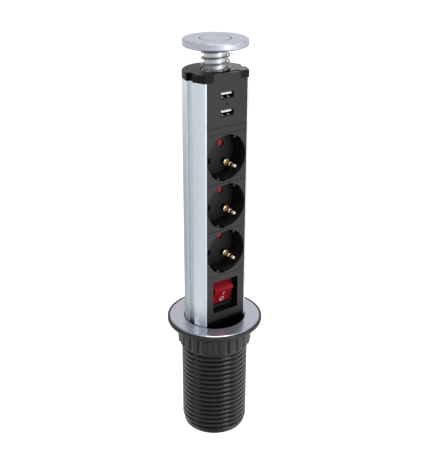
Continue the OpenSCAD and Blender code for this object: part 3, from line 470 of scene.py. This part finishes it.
def turned(outline, steps=160, closed=True):
    """Points and faces of an outline (radius, height) turned about Z."""
    return banded([[polar(p[0], angle, p[1]) for angle in angles(steps)] for p in outline], closed)


def skin(rings):
    """Points and faces of a closed tube through rings of points, with flat ends."""
    sides = len(rings[0])
    points, faces = banded(rings, closed=False)
    faces.append(tuple(reversed(range(sides))))
    faces.append(tuple(range(len(points) - sides, len(points))))
    return points, faces


def add_piece(name, shape, body, slot, replaced=(), finish=None, sharp=32):
    """A piece from points and faces, which rides on a body and may stand for nodes."""
    mesh = bpy.data.meshes.new(name)
    mesh.from_pydata([tuple(p) for p in shape[0]], [], shape[1])
    made = bmesh.new()
    made.from_mesh(mesh)
    bmesh.ops.remove_doubles(made, verts=made.verts, dist=MERGE)
    bmesh.ops.dissolve_degenerate(made, edges=made.edges, dist=MERGE / 5)
    bmesh.ops.recalc_face_normals(made, faces=made.faces)
    made.to_mesh(mesh)
    made.free()
    mesh.shade_smooth()
    mesh.set_sharp_from_angle(angle=math.radians(sharp))
    piece = bpy.data.objects.new(name, mesh)
    bpy.context.scene.collection.objects.link(piece)
    mesh.materials.append(FINISHES[finish or slot])
    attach(piece, body)
    if replaced:
        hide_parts(*replaced)
    return piece


def moved(shape, matrix):
    """The same points and faces, moved by a matrix."""
    return [matrix @ Vector(p) for p in shape[0]], shape[1]


def joined(*shapes):
    """Several shapes as one."""
    points, faces = [], []
    for some_points, some_faces in shapes:
        start = len(points)
        points += list(some_points)
        faces += [tuple(start + k for k in face) for face in some_faces]
    return points, faces


def soften(node, width):
    """Rounds the sharp edges of a node as it is shown."""
    shown = frame["nodes"][node]
    weld = shown.modifiers.new("weld", "WELD")
    weld.merge_threshold = MERGE
    bevel = shown.modifiers.new("soft edges", "BEVEL")
    bevel.width = width
    bevel.segments = 3
    bevel.limit_method = "ANGLE"
    bevel.angle_limit = math.radians(30)
    bevel.harden_normals = False
    normals = shown.modifiers.new("even shading", "WEIGHTED_NORMAL")
    normals.keep_sharp = True


# Sizes that the frame gives, and the walls between them

THREAD_DEPTH = 1.15 * MM
SLEEVE_WALL = 1.35 * MM
PLAIN_END = 4 * MM
RUN_UP = 1.6 * MM
FIT_GAP = 0.05 * MM

sleeve_low, sleeve_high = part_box("threaded_sleeve")
flange_low, flange_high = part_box("mounting_flange")
ring_low, ring_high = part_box("trim_ring")
washer_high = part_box("clamp_washer")[1]
nut_low, nut_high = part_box("clamp_nut")
cap_low, cap_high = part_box("cap_disc")
spring_low, spring_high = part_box("lift_spring")

thread_r = sleeve_high.x
root_r = thread_r - THREAD_DEPTH
bore_r = root_r - SLEEVE_WALL
thread_start = sleeve_low.z + PLAIN_END + RUN_UP


# Desk fixing

THREAD_PITCH = 4.8 * MM
THREAD_AROUND = 96
THREAD_ROWS = 16
GROOVE_EXTRA = 0.6 * MM
RUN_OUT = 1.2 * MM
CHAMFER = 0.5 * MM
FLANGE_RIM = 2 * MM
BEVEL_W = 0.9 * MM
BEVEL_H = 0.58 * MM
FLUTES = 24
FLUTE_STEPS = 16
FLUTE_R = 2 * MM
FLUTE_DEPTH = 1.0 * MM
NUT_BAND = 2 * MM
NUT_RIM = 3.1 * MM
NUT_RIM_WALL = 1.25 * MM
NUT_EDGE = 0.35 * MM
NUT_FIT = 0.4 * MM


def ridge_share(height):
    """How far the thread's round ridge stands out at a height, from 0 to 1, once a pitch."""
    off = (height - thread_start + THREAD_PITCH / 2) % THREAD_PITCH - THREAD_PITCH / 2
    return math.sqrt(max(0.0, 1 - (2 * off / THREAD_PITCH) ** 2))


def helical_wall(low, high, radius):
    """A round wall whose rows of points climb one pitch per turn; radius(row height, height) shapes it."""
    step = THREAD_PITCH / THREAD_ROWS
    rows = math.ceil((high - low + THREAD_PITCH) / step) + THREAD_ROWS
    points = []
    for row in range(rows):
        base = low - THREAD_PITCH + row * step
        for i, angle in enumerate(angles(THREAD_AROUND)):
            z = min(high, max(low, base + THREAD_PITCH * i / THREAD_AROUND))
            points.append(polar(radius(base, z), angle, z))
    faces = []
    for row in range(rows - 1):
        for i in range(THREAD_AROUND):
            a = row * THREAD_AROUND + i
            ahead = a + 1 if i < THREAD_AROUND - 1 else (row + THREAD_ROWS) * THREAD_AROUND
            if ahead < (rows - 1) * THREAD_AROUND:
                faces.append((a, ahead, ahead + THREAD_AROUND, a + THREAD_AROUND))
    return points, faces


def sleeve_thread():
    """The sleeve: a rounded thread that runs out at both ends of a plain tube."""
    low = sleeve_low.z + CHAMFER
    top = flange_low.z

    def radius(row, z):
        ends = eased(min(z - thread_start + RUN_UP, top - z) / RUN_OUT)
        depth = THREAD_DEPTH + GROOVE_EXTRA
        return root_r + ends * (depth * ridge_share(row) - GROOVE_EXTRA)

    outside = helical_wall(low, top, radius)
    inside = turned([
        (root_r, top), (root_r, sleeve_high.z), (bore_r, sleeve_high.z),
        (bore_r, sleeve_low.z), (root_r - CHAMFER, sleeve_low.z), (root_r, low),
    ], THREAD_AROUND, closed=False)
    return joined(outside, inside)


def flange_body():
    """The flange: a plate and spigot with a round rim that holds the trim ring."""
    ring_r = flange_high.x - FLANGE_RIM
    neck_r = root_r + FIT_GAP
    return turned(rounded([
        (neck_r, ring_low.z, 0), (ring_r, ring_low.z, 0), (ring_r, flange_high.z, FLANGE_RIM * 0.48),
        (flange_high.x, flange_high.z, FLANGE_RIM * 0.48), (flange_high.x, 0, FLANGE_RIM * 0.6),
        (thread_r, 0, 0), (thread_r, flange_low.z, 0.2 * MM), (neck_r, flange_low.z, 0),
    ]))


def ring_face():
    """The trim ring, with a bright bevel outside and a round edge inside."""
    return turned(rounded([
        (bore_r, ring_low.z, 0), (ring_high.x, ring_low.z, 0), (ring_high.x, ring_high.z - BEVEL_H, 0.2 * MM),
        (ring_high.x - BEVEL_W, ring_high.z, 0.25 * MM), (bore_r, ring_high.z, 0.7 * MM),
    ], steps=8))


def nut_body():
    """The nut: a plain band, finger flutes with soft edges, a plain lower rim and a smooth hole."""
    nut_r = washer_high.x
    hole_r = thread_r + NUT_FIT
    rim_r = hole_r + NUT_RIM_WALL
    flute_low = nut_low.z + NUT_RIM
    flute_high = nut_high.z - NUT_BAND

    def flute(angle):
        spacing = 2 * math.pi / FLUTES
        off = abs((angle + spacing / 2) % spacing - spacing / 2) * nut_r
        deep = math.sqrt(max(0.0, FLUTE_R ** 2 - off ** 2)) - FLUTE_R + FLUTE_DEPTH
        return max(0.0, deep)

    # Radius, height and share of the flutes' depth
    heights = [
        (rim_r - NUT_EDGE, nut_low.z, 0), (rim_r, nut_low.z + NUT_EDGE, 0),
        (rim_r, flute_low - FIT_GAP, 0), (rim_r, flute_low, 0),
        (nut_r - 2 * NUT_EDGE, flute_low, 0.3), (nut_r - NUT_EDGE, flute_low + 0.1 * MM, 0.6),
        (nut_r, flute_low + NUT_EDGE, 1), (nut_r, flute_high - NUT_EDGE, 1),
        (nut_r, flute_high - 0.1 * MM, 0.8), (nut_r, flute_high + 0.1 * MM, 0.1),
        (nut_r, flute_high + NUT_EDGE, 0), (nut_r, nut_high.z - NUT_EDGE, 0),
        (nut_r - 0.1 * MM, nut_high.z - 0.1 * MM, 0), (nut_r - NUT_EDGE, nut_high.z, 0),
        (hole_r, nut_high.z, 0), (hole_r, nut_low.z, 0),
    ]
    return banded([
        [polar(r - share * flute(angle), angle, z) for angle in angles(FLUTES * FLUTE_STEPS)]
        for r, z, share in heights
    ])


add_piece("sleeve_thread", sleeve_thread(), "sleeve", "black_moulding", ["threaded_sleeve"])
add_piece("flange_body", flange_body(), "sleeve", "black_moulding", ["mounting_flange"], "fixing_black")
add_piece("ring_face", ring_face(), "sleeve", "satin_silver", ["trim_ring"], "ring_silver")
add_piece("nut_body", nut_body(), "nut", "black_moulding", ["clamp_nut"], "fixing_black")


# Cap and spring

CAP_ROUND = 1.4 * MM
CAP_GROOVE = 0.8 * MM
CAP_GROOVE_DEEP = 0.9 * MM
CAP_GROOVE_R = 13 * MM
SPRING_CURLS = 4.5
SPRING_FLAT = 0.09
WIRE_R = 0.6 * MM

groove_in = CAP_GROOVE_R - CAP_GROOVE
groove_z = cap_high.z - CAP_GROOVE_DEEP


def cap_plate():
    """The cap: a disc with rounded edges and a fine groove, open below for its stem."""
    seat_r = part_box("cap_stem")[1].x + FIT_GAP
    seat_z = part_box("cap_stem")[1].z
    ease = 0.12 * MM
    return turned(rounded([
        (0, seat_z, 0), (seat_r, seat_z, 0), (seat_r, cap_low.z, 0.2 * MM),
        (cap_high.x, cap_low.z, CAP_ROUND), (cap_high.x, cap_high.z, CAP_ROUND),
        (CAP_GROOVE_R, cap_high.z, ease), (CAP_GROOVE_R, groove_z, 0), (groove_in, groove_z, 0),
        (groove_in, cap_high.z, ease), (0, cap_high.z, 0),
    ], steps=8))


def groove_floor():
    """A dark ring of painted shadow that fills the bottom of the cap's groove."""
    top = groove_z + 0.5 * MM
    return turned([(groove_in, groove_z), (CAP_GROOVE_R, groove_z), (CAP_GROOVE_R, top), (groove_in, top)])


def spring_coil():
    """The spring: round wire in a right-hand helix whose ends flatten onto their seats."""
    per_turn = 48
    sides = 12
    coil_r = spring_high.x - WIRE_R
    steps = int(SPRING_CURLS * per_turn)
    low = spring_low.z + WIRE_R
    high = spring_high.z - WIRE_R

    def flat_climb(share):
        return eased(share / SPRING_FLAT) * 0.5 * SPRING_FLAT

    def centre(i):
        share = i / steps
        climb = share - 0.5 * SPRING_FLAT
        if share < SPRING_FLAT:
            climb = flat_climb(share)
        elif share > 1 - SPRING_FLAT:
            climb = 1 - SPRING_FLAT - flat_climb(1 - share)
        z = low + (high - low) * climb / (1 - SPRING_FLAT)
        return Vector(polar(coil_r, 2 * math.pi * SPRING_CURLS * share, z))

    rings = []
    for i in range(steps + 1):
        here = centre(i)
        along = (centre(min(steps, i + 1)) - centre(max(0, i - 1))).normalized()
        out = Vector((here.x, here.y, 0)).normalized()
        side = along.cross(out).normalized()
        rings.append([here + WIRE_R * (math.cos(angle) * out + math.sin(angle) * side)
                      for angle in angles(sides)])
    return skin(rings)


add_piece("cap_plate", cap_plate(), "cap", "satin_silver", ["cap_disc"])
add_piece("cap_groove_shadow_ring", groove_floor(), "cap", "satin_silver", finish="groove_shadow")
spring = add_piece("spring_coil", spring_coil(), "tower", "spring_steel", ["lift_spring"], sharp=60)
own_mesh(spring)


# Outlets

OUTLETS = (1, 2, 3)
RECESS_FLOOR_Y = 1.1 * MM
TAIL_R = 1.5 * MM
COLLAR_R = 2.75 * MM
COLLAR_L = 4.3 * MM
SHANK_R = 1.8 * MM
NECK_R = 1.15 * MM
TIP_R = 1.25 * MM
SHOULDER_SLOPE = 0.5
LINE_SPOTS = (0.8 * MM, 2.2 * MM)
LINE_SIZE = 0.3 * MM

# How far the pins stand from the middle of their nodes
PIN_OFFSET = Vector((1.0 * MM, 0, -1.0 * MM))


def earth_pin(low, high):
    """An earth pin along -Y: tail, collar, a shank with two turned lines, a neck and a round tip."""
    tip = RECESS_FLOOR_Y - low.y
    tail = RECESS_FLOOR_Y - high.y
    neck_start = RECESS_FLOOR_Y - PIN_NECK_Y
    neck_end = RECESS_FLOOR_Y - PIN_TIP_Y
    collar_edge = COLLAR_L - SHOULDER_SLOPE * (COLLAR_R - SHANK_R)
    shank_edge = neck_start - SHOULDER_SLOPE * (SHANK_R - NECK_R)
    lines = []
    for spot in LINE_SPOTS:
        at = COLLAR_L + spot
        lines += [(SHANK_R, at - LINE_SIZE, 0), (SHANK_R - LINE_SIZE, at, 0), (SHANK_R, at + LINE_SIZE, 0)]
    outline = rounded([
        (0, tail, 0), (TAIL_R, tail, 0), (TAIL_R, 0, 0), (COLLAR_R, 0, 0),
        (COLLAR_R, collar_edge, 0.15 * MM), (SHANK_R, COLLAR_L, 0), *lines,
        (SHANK_R, shank_edge, 0.1 * MM), (NECK_R, neck_start, 0), (NECK_R, neck_end, 0),
        (TIP_R, neck_end, 0.2 * MM), (TIP_R, tip, TIP_R * 0.98), (0, tip, 0),
    ])
    middle = (low + high) / 2 + PIN_OFFSET
    place = Matrix.Translation((middle.x, RECESS_FLOOR_Y, middle.z)) @ Matrix.Rotation(math.pi / 2, 4, "X")
    return moved(turned(outline, steps=48), place)


for i in OUTLETS:
    add_piece(f"earth_pin_turned_{i}", earth_pin(*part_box(f"earth_pin_{i}")), "tower",
              "brass_contact", [f"earth_pin_{i}"], "pin_brass")


# Switch

POCKET_W = 26 * MM
POCKET_H = 30.3 * MM
POCKET_DEEP = 9.5 * MM
POCKET_R = 1.2 * MM
POCKET_WALL = 1.4 * MM
POCKET_EDGE = 0.3 * MM
SWITCH_W = 22.4 * MM
SWITCH_H = 26.7 * MM
PLATE_W = 39.1 * MM
PLATE_BACK = 4.1 * MM
PLATE_EASE = 0.12 * MM
PLATE_CORNER = 0.1 * MM
TONGUE_DEEP = 2.1 * MM
ROCKER_W = 19.4 * MM
ROCKER_END = 11.4 * MM
ROCKER_RIDGE = 7.6 * MM
ROCKER_DISH = 0.8 * MM
ROCKER_BACK = 3.2 * MM
ROCKER_EASE = 0.6 * MM
PIVOT_R = 0.8 * MM
MARK_T = 0.08 * MM
ON_MARK = {"x": 0.9 * MM, "y": 2.9 * MM, "w": 0.8 * MM, "h": 3.8 * MM}
OFF_MARK = {"x": 0.7 * MM, "y": -4.6 * MM, "w": 4.0 * MM, "h": 4.4 * MM, "line": 0.6 * MM}


def switch_front():
    """The switch's plate: tongues at its sides and a deep pocket, whose floor is open for the switch."""
    low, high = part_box("switch_plate")
    middle = (low.z + high.z) / 2
    plate_h = high.z - low.z
    tongue_w = high.x - low.x
    behind = POCKET_DEEP + POCKET_WALL
    box_w = POCKET_W + 2 * POCKET_WALL
    box_h = POCKET_H + 2 * POCKET_WALL

    def loop(w, h, radius, depth):
        return [(p.x, PANEL_Y + depth, p.y) for p in oblong(0, middle, w, h, radius)]

    return banded([
        loop(PLATE_W - 2 * PLATE_EASE, plate_h - 2 * PLATE_EASE, PLATE_CORNER, 0),
        loop(POCKET_W + 2 * PLATE_EASE, POCKET_H + 2 * PLATE_EASE, POCKET_R + PLATE_EASE, 0),
        loop(POCKET_W, POCKET_H, POCKET_R, PLATE_EASE),
        loop(POCKET_W, POCKET_H, POCKET_R, POCKET_DEEP),
        loop(SWITCH_W, SWITCH_H, PLATE_CORNER, POCKET_DEEP),
        loop(SWITCH_W, SWITCH_H, PLATE_CORNER, behind),
        loop(box_w, box_h, PLATE_CORNER, behind),
        loop(box_w, box_h, PLATE_CORNER, PLATE_BACK),
        loop(tongue_w, plate_h, PLATE_CORNER, PLATE_BACK),
        loop(tongue_w, plate_h, PLATE_CORNER, TONGUE_DEEP),
        loop(PLATE_W, plate_h, PLATE_CORNER, TONGUE_DEEP),
        loop(PLATE_W, plate_h, PLATE_CORNER, PLATE_EASE),
    ])


def rocker_place():
    """From the rocker's own axes, x across, y up its face and z out of it, to the frame."""
    return (Matrix.Translation((0, PIVOT_Y, PIVOT_Z)) @ Matrix.Rotation(math.pi / 2, 4, "X")
            @ Matrix.Rotation(ROCKER_LEAN, 4, "X"))


def rocker_height(y):
    """Height of the dished face over the pivot."""
    return ROCKER_RIDGE - ROCKER_DISH * (1 - (y / ROCKER_FACE) ** 2)


def inward(point, inset):
    """A point of the rocker's outline drawn in towards its middle by about that much."""
    return (point[0] * (1 - inset / ROCKER_END), point[1] * (1 - inset / ROCKER_RIDGE))


def rocker_key():
    """The rocker: a hollow-faced key with round ridges and soft sides, and its pivot pins."""
    dish = [(ROCKER_FACE * k / 6, rocker_height(ROCKER_FACE * k / 6), 0) for k in range(5, -6, -1)]
    outline = rounded([
        (-ROCKER_END, -ROCKER_BACK, 0), (ROCKER_END, -ROCKER_BACK, 0), (ROCKER_END, 0, 0.8 * MM),
        (ROCKER_FACE, ROCKER_RIDGE, 0.9 * MM), *dish, (-ROCKER_FACE, ROCKER_RIDGE, 0.9 * MM),
        (-ROCKER_END, 0, 0.8 * MM),
    ])
    side = []
    for k in range(5):
        angle = math.pi / 2 * k / 4
        side.append((ROCKER_W / 2 - ROCKER_EASE * (1 - math.sin(angle)), ROCKER_EASE * (1 - math.cos(angle))))
    sections = [(-x, inset) for x, inset in reversed(side)] + side
    shape = skin([[(x, *inward(p, inset)) for p in outline] for x, inset in sections])
    pin_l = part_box("rocker")[1].x
    pin = turned([(0, -pin_l), (PIVOT_R, -pin_l), (PIVOT_R, pin_l), (0, pin_l)], steps=24)
    return moved(joined(shape, moved(pin, Matrix.Rotation(math.pi / 2, 4, "Y"))), rocker_place())


def raised_bar(x, y, w, h, t):
    """A thin bar that follows the rocker's hollow face."""
    corners = ((-1, -t), (1, -t), (1, t), (-1, t))
    rings = []
    for k in range(7):
        at = y + h * (k / 6 - 0.5)
        half = w / 2 * (0.6 if k in (0, 6) else 1.0)
        rings.append([(x + side * half, at, rocker_height(at) + up) for side, up in corners])
    return moved(skin(rings), rocker_place())


def raised_ring(x, y, w, h, line, t):
    """A thin oval ring on the rocker's face."""

    def loop(grow, up):
        points = []
        for angle in angles(40):
            at = y + (h / 2 + grow) * math.sin(angle)
            points.append((x + (w / 2 + grow) * math.cos(angle), at, rocker_height(at) + up))
        return points

    corners = ((-line / 2, -t), (line / 2, -t), (line / 2, t), (-line / 2, t))
    return moved(banded([loop(grow, up) for grow, up in corners]), rocker_place())


front_piece = add_piece("switch_front", switch_front(), "tower", "charcoal_moulding", ["switch_plate"],
                        "socket_charcoal")

# The pocket's inside, with all that is behind the plate's face, has its own finish: a blacker copy of the
# plate's moulding, which is painted shade
front_piece.data.materials.append(FINISHES["pocket_black"])
for face in front_piece.data.polygons:
    if face.center.y > PANEL_Y + POCKET_EDGE:
        face.material_index = 1

add_piece("rocker_key", rocker_key(), "switch_rocker", "rocker_red", ["rocker"])
add_piece("rocker_on_mark", raised_bar(**ON_MARK, t=MARK_T),
          "switch_rocker", "white_insulator", finish="mark_white")
add_piece("rocker_off_mark", raised_ring(**OFF_MARK, t=MARK_T),
          "switch_rocker", "white_insulator", finish="mark_white")


# USB ports

PORT_Z = (209.05 * MM, 194.75 * MM)
TONGUE_X = -0.95 * MM
TONGUE_W = 10 * MM
TONGUE_H = 1.45 * MM
TONGUE_UP = 1.4 * MM
TONGUE_FACE_Y = -16.15 * MM
TONGUE_ROOT_UP = 1.15 * MM
TONGUE_ROOT_H = 1.8 * MM
TONGUE_ROOT_SET = 1.5 * MM
TONGUE_EASE = 0.2 * MM
TONGUE_ROOT_EASE = 0.05 * MM
TAB_X = (-4.6 * MM, 1.4 * MM)
TAB_DROP = 1.4 * MM
TAB_W = 1.1 * MM
TAB_H = 0.5 * MM
TAB_FACE_Y = -15.9 * MM
TAB_BACK_Y = -14 * MM
TAB_EASE = 0.1 * MM


def plate_bar(x, z, w, h, y_front, y_back, ease):
    """A bar with rounded corners and a soft front edge, which faces -Y."""
    rings = []
    for y, inset in ((y_back, 0), (y_front + ease, 0), (y_front + 0.3 * ease, 0.3 * ease), (y_front, ease)):
        bar_w = w - 2 * inset
        bar_h = h - 2 * inset
        outline = oblong(x, z, bar_w, bar_h, 0.2 * min(bar_w, bar_h), steps=4)
        rings.append([(p.x, y, p.y) for p in outline])
    return skin(rings)


def usb_tongue(z):
    """A port's tongue: a slim front lip on a root that carries the contacts."""
    low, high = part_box("usb_port_tongues")
    root_y = low.y + TONGUE_ROOT_SET
    root_w = high.x - low.x
    lip = plate_bar(TONGUE_X, z + TONGUE_UP, TONGUE_W, TONGUE_H, TONGUE_FACE_Y, root_y, TONGUE_EASE)
    root = plate_bar(0, z + TONGUE_ROOT_UP, root_w, TONGUE_ROOT_H, root_y, high.y, TONGUE_ROOT_EASE)
    return joined(lip, root)


add_piece("usb_tongue_fronts", joined(*map(usb_tongue, PORT_Z)), "tower", "white_insulator",
          ["usb_port_tongues"])
for i, z in enumerate(PORT_Z, 1):
    tabs = [plate_bar(x, z - TAB_DROP, TAB_W, TAB_H, TAB_FACE_Y, TAB_BACK_Y, TAB_EASE) for x in TAB_X]
    add_piece(f"usb_tabs_{i}", joined(*tabs), "tower", "nickel_shell", finish="bright_nickel")


# Finishes and soft edges of the nodes that stay

SOCKETS = [f"socket_insert_{i}" for i in OUTLETS]
OWN_FINISH = {
    "top_end_cap": "end_cap_black",
    "cap_stem": "stem_chrome",
    "lower_blank_plate": "foot_charcoal",
    "switch_frame": "charcoal_moulding",
    "usb_light": "smoked_light",
    **dict.fromkeys(SOCKETS, "socket_charcoal"),
}
SOFT_EDGES = {
    "tower_profile": 0.6 * MM,
    "top_end_cap": 0.3 * MM,
    "bottom_end_cap": 0.3 * MM,
    "usb_front_plate": 0.15 * MM,
    "spacer_plate": 0.15 * MM,
    "lower_blank_plate": 0.15 * MM,
    "switch_frame": 0.2 * MM,
    "clamp_washer": 0.2 * MM,
    "cable_gland": 0.3 * MM,
    "guide_rails": 0.2 * MM,
    **dict.fromkeys(SOCKETS, 0.3 * MM),
}


def finish_nodes():
    """Every node of the frame gets the finish of its slot in the record, or its own."""
    for part in frame["record"]["subparts"]:
        name = part["node"]
        for place in frame["nodes"][name].material_slots:
            place.material = FINISHES[OWN_FINISH.get(name, part["material_slot"])]


finish_nodes()
for node, width in SOFT_EDGES.items():
    soften(node, width)


# Studio

CAMERA_PLACE = (-364.25 * MM, -509.31 * MM, 371.33 * MM)
CAMERA_YAW = math.radians(35.586)
CAMERA_PITCH = math.radians(24.617)
CAMERA_ROLL = math.radians(0.2047)
CAMERA_LENS = 61.80
SENSOR_W = 36

FLOOR_Z = -335 * MM
FLOOR_REACH = 6.0
FLOOR_GLOW = 0.80

# Directions of the room that the gloss shows, and its brightness there against white
FRONT_SIDE = (-0.64, -0.77, 0.0)
LEFT_SIDE = (-0.34, 0.94, 0.0)
OUTLET_SIDE = (0.0, -1.0, 0.0)
UP = (0.0, 0.0, 1.0)
AMBIENT = 0.33
LOW_SIDE_LIGHT = 1.15
LEFT_WALL_LIGHT = 0.8
LOW_FRONT_SHADE = 0.25
OUTLET_SIDE_LIGHT = 0.1
DARK_CEILING = 0.16
BACKDROP_LIGHT = 0.86
OVERHEAD_LIGHT = 0.7

# Place, target, size and power of each lamp
SOFTBOXES = {
    "left softbox": ((-1.17, 0.43, 0.95), (0, 0, 0.05), (0.25, 0.8), 3.6),
    "front softbox": ((0.11, -1.25, 0.38), (0, 0, 0.05), (0.40, 0.8), 7.0),
    "right softbox": ((1.05, -0.70, 0.95), (0, 0, 0.05), (0.25, 0.8), 3.6),
    "top softbox": ((0.0, -0.18, 1.35), (0, 0, 0.1), (0.7, 0.7), 8.0),
}


def add_camera():
    """The camera, placed and turned as it was fitted to the photo."""
    data = bpy.data.cameras.new("camera")
    data.lens = CAMERA_LENS
    data.sensor_width = SENSOR_W
    data.clip_start = 0.01
    camera = bpy.data.objects.new("camera", data)
    bpy.context.scene.collection.objects.link(camera)
    camera.matrix_world = (
        Matrix.Translation(CAMERA_PLACE) @ Matrix.Rotation(-CAMERA_YAW, 4, "Z")
        @ Matrix.Rotation(math.pi / 2 - CAMERA_PITCH, 4, "X") @ Matrix.Rotation(CAMERA_ROLL, 4, "Z")
    )
    bpy.context.scene.camera = camera


def add_softbox(name, place, target, size, power):
    """A soft lamp that faces a target."""
    data = bpy.data.lights.new(name, "AREA")
    data.shape = "RECTANGLE"
    data.size, data.size_y = size
    data.energy = power
    lamp = bpy.data.objects.new(name, data)
    bpy.context.scene.collection.objects.link(lamp)
    lamp.location = place
    lamp.rotation_euler = (Vector(target) - Vector(place)).to_track_quat("-Z", "Y").to_euler()


def seen_directly(f):
    """1 for rays from the camera, from gloss or through clear pieces, otherwise 0."""
    path = {name: f.node("ShaderNodeLightPath", output=name)
            for name in ("Is Camera Ray", "Is Glossy Ray", "Is Transmission Ray")}
    return path["Is Camera Ray"] + path["Is Glossy Ray"] + path["Is Transmission Ray"]


def add_world():
    """White for the camera and dim for soft light; in gloss a room with a lit floor, walls and backdrop."""
    world = bpy.data.worlds.new("studio")
    bpy.context.scene.world = world
    world.use_nodes = True
    f = Finish(world.node_tree)
    toward = f.node("ShaderNodeTexCoord", output="Generated")

    def facing(side):
        return f.node("ShaderNodeVectorMath", {"operation": "DOT_PRODUCT"}, {0: toward, 1: side}, "Value")

    front = facing(FRONT_SIDE)
    ahead = facing(OUTLET_SIDE)
    height = facing(UP)
    low_sides = f.step(height, -0.52, -0.60) * (1.0 - f.step(front, 0.35, 0.75))
    left_wall = f.step(facing(LEFT_SIDE), 0.4, 0.95) * f.step(height, -0.34, -0.16)
    low_front = f.step(front, 0.45, 0.75) * f.step(height, -0.50, -0.62)
    overhead = f.step(front, 0.3, 0.8) * f.step(height, 0.2, 0.5)
    ground = (0.86 + 0.42 * ahead) * (1.29 + 0.8 * height) + OUTLET_SIDE_LIGHT * f.step(ahead, 0.70, 0.92)
    sides = LOW_SIDE_LIGHT * low_sides + LEFT_WALL_LIGHT * left_wall - LOW_FRONT_SHADE * low_front
    below = (ground + sides) * f.step(height, -0.86, -0.70)
    above = DARK_CEILING + BACKDROP_LIGHT * f.step(front, -0.1, -0.8) + OVERHEAD_LIGHT * overhead
    room = below + (above - below) * f.step(height, -0.12, 0.22)
    gloss = f.node("ShaderNodeLightPath", output="Is Glossy Ray")
    strength = AMBIENT + (1.0 - AMBIENT) * seen_directly(f) + (room - 1.0) * gloss
    light = f.node("ShaderNodeBackground", None, {"Color": (1.0, 1.0, 1.0, 1.0), "Strength": strength})
    f.node("ShaderNodeOutputWorld", None, {"Surface": light})


def add_floor():
    """A pale floor far below the part, which keeps its shadow and is clear from underneath."""
    corners = ((-1, -1), (1, -1), (1, 1), (-1, 1))
    mesh = bpy.data.meshes.new("floor")
    mesh.from_pydata([(x * FLOOR_REACH, y * FLOOR_REACH, FLOOR_Z) for x, y in corners], [], [(0, 1, 2, 3)])
    floor = bpy.data.objects.new("floor", mesh)
    bpy.context.scene.collection.objects.link(floor)
    material, f = new_finish("floor_white")
    glow = FLOOR_GLOW * seen_directly(f)
    tone = f.colour(f.noise(0.4), (0.78, 0.78, 0.78), (0.80, 0.80, 0.80))
    paint = f.node("ShaderNodeBsdfPrincipled", None, {
        "Base Color": tone, "Roughness": 0.9, "Specular IOR Level": 0.0, "Emission Strength": 1.0,
        "Emission Color": f.colour(glow, (0.0, 0.0, 0.0), (1.0, 1.0, 1.0))})
    underside = f.node("ShaderNodeNewGeometry", output="Backfacing")
    clear = f.node("ShaderNodeBsdfTransparent")
    f.node("ShaderNodeOutputMaterial", None,
           {"Surface": f.node("ShaderNodeMixShader", None, {0: underside, 1: paint, 2: clear})})
    mesh.materials.append(material)
    floor.visible_glossy = False


add_camera()
add_world()
add_floor()
for name, lamp in SOFTBOXES.items():
    add_softbox(name, *lamp)

bpy.context.scene.view_settings.view_transform = "Standard"
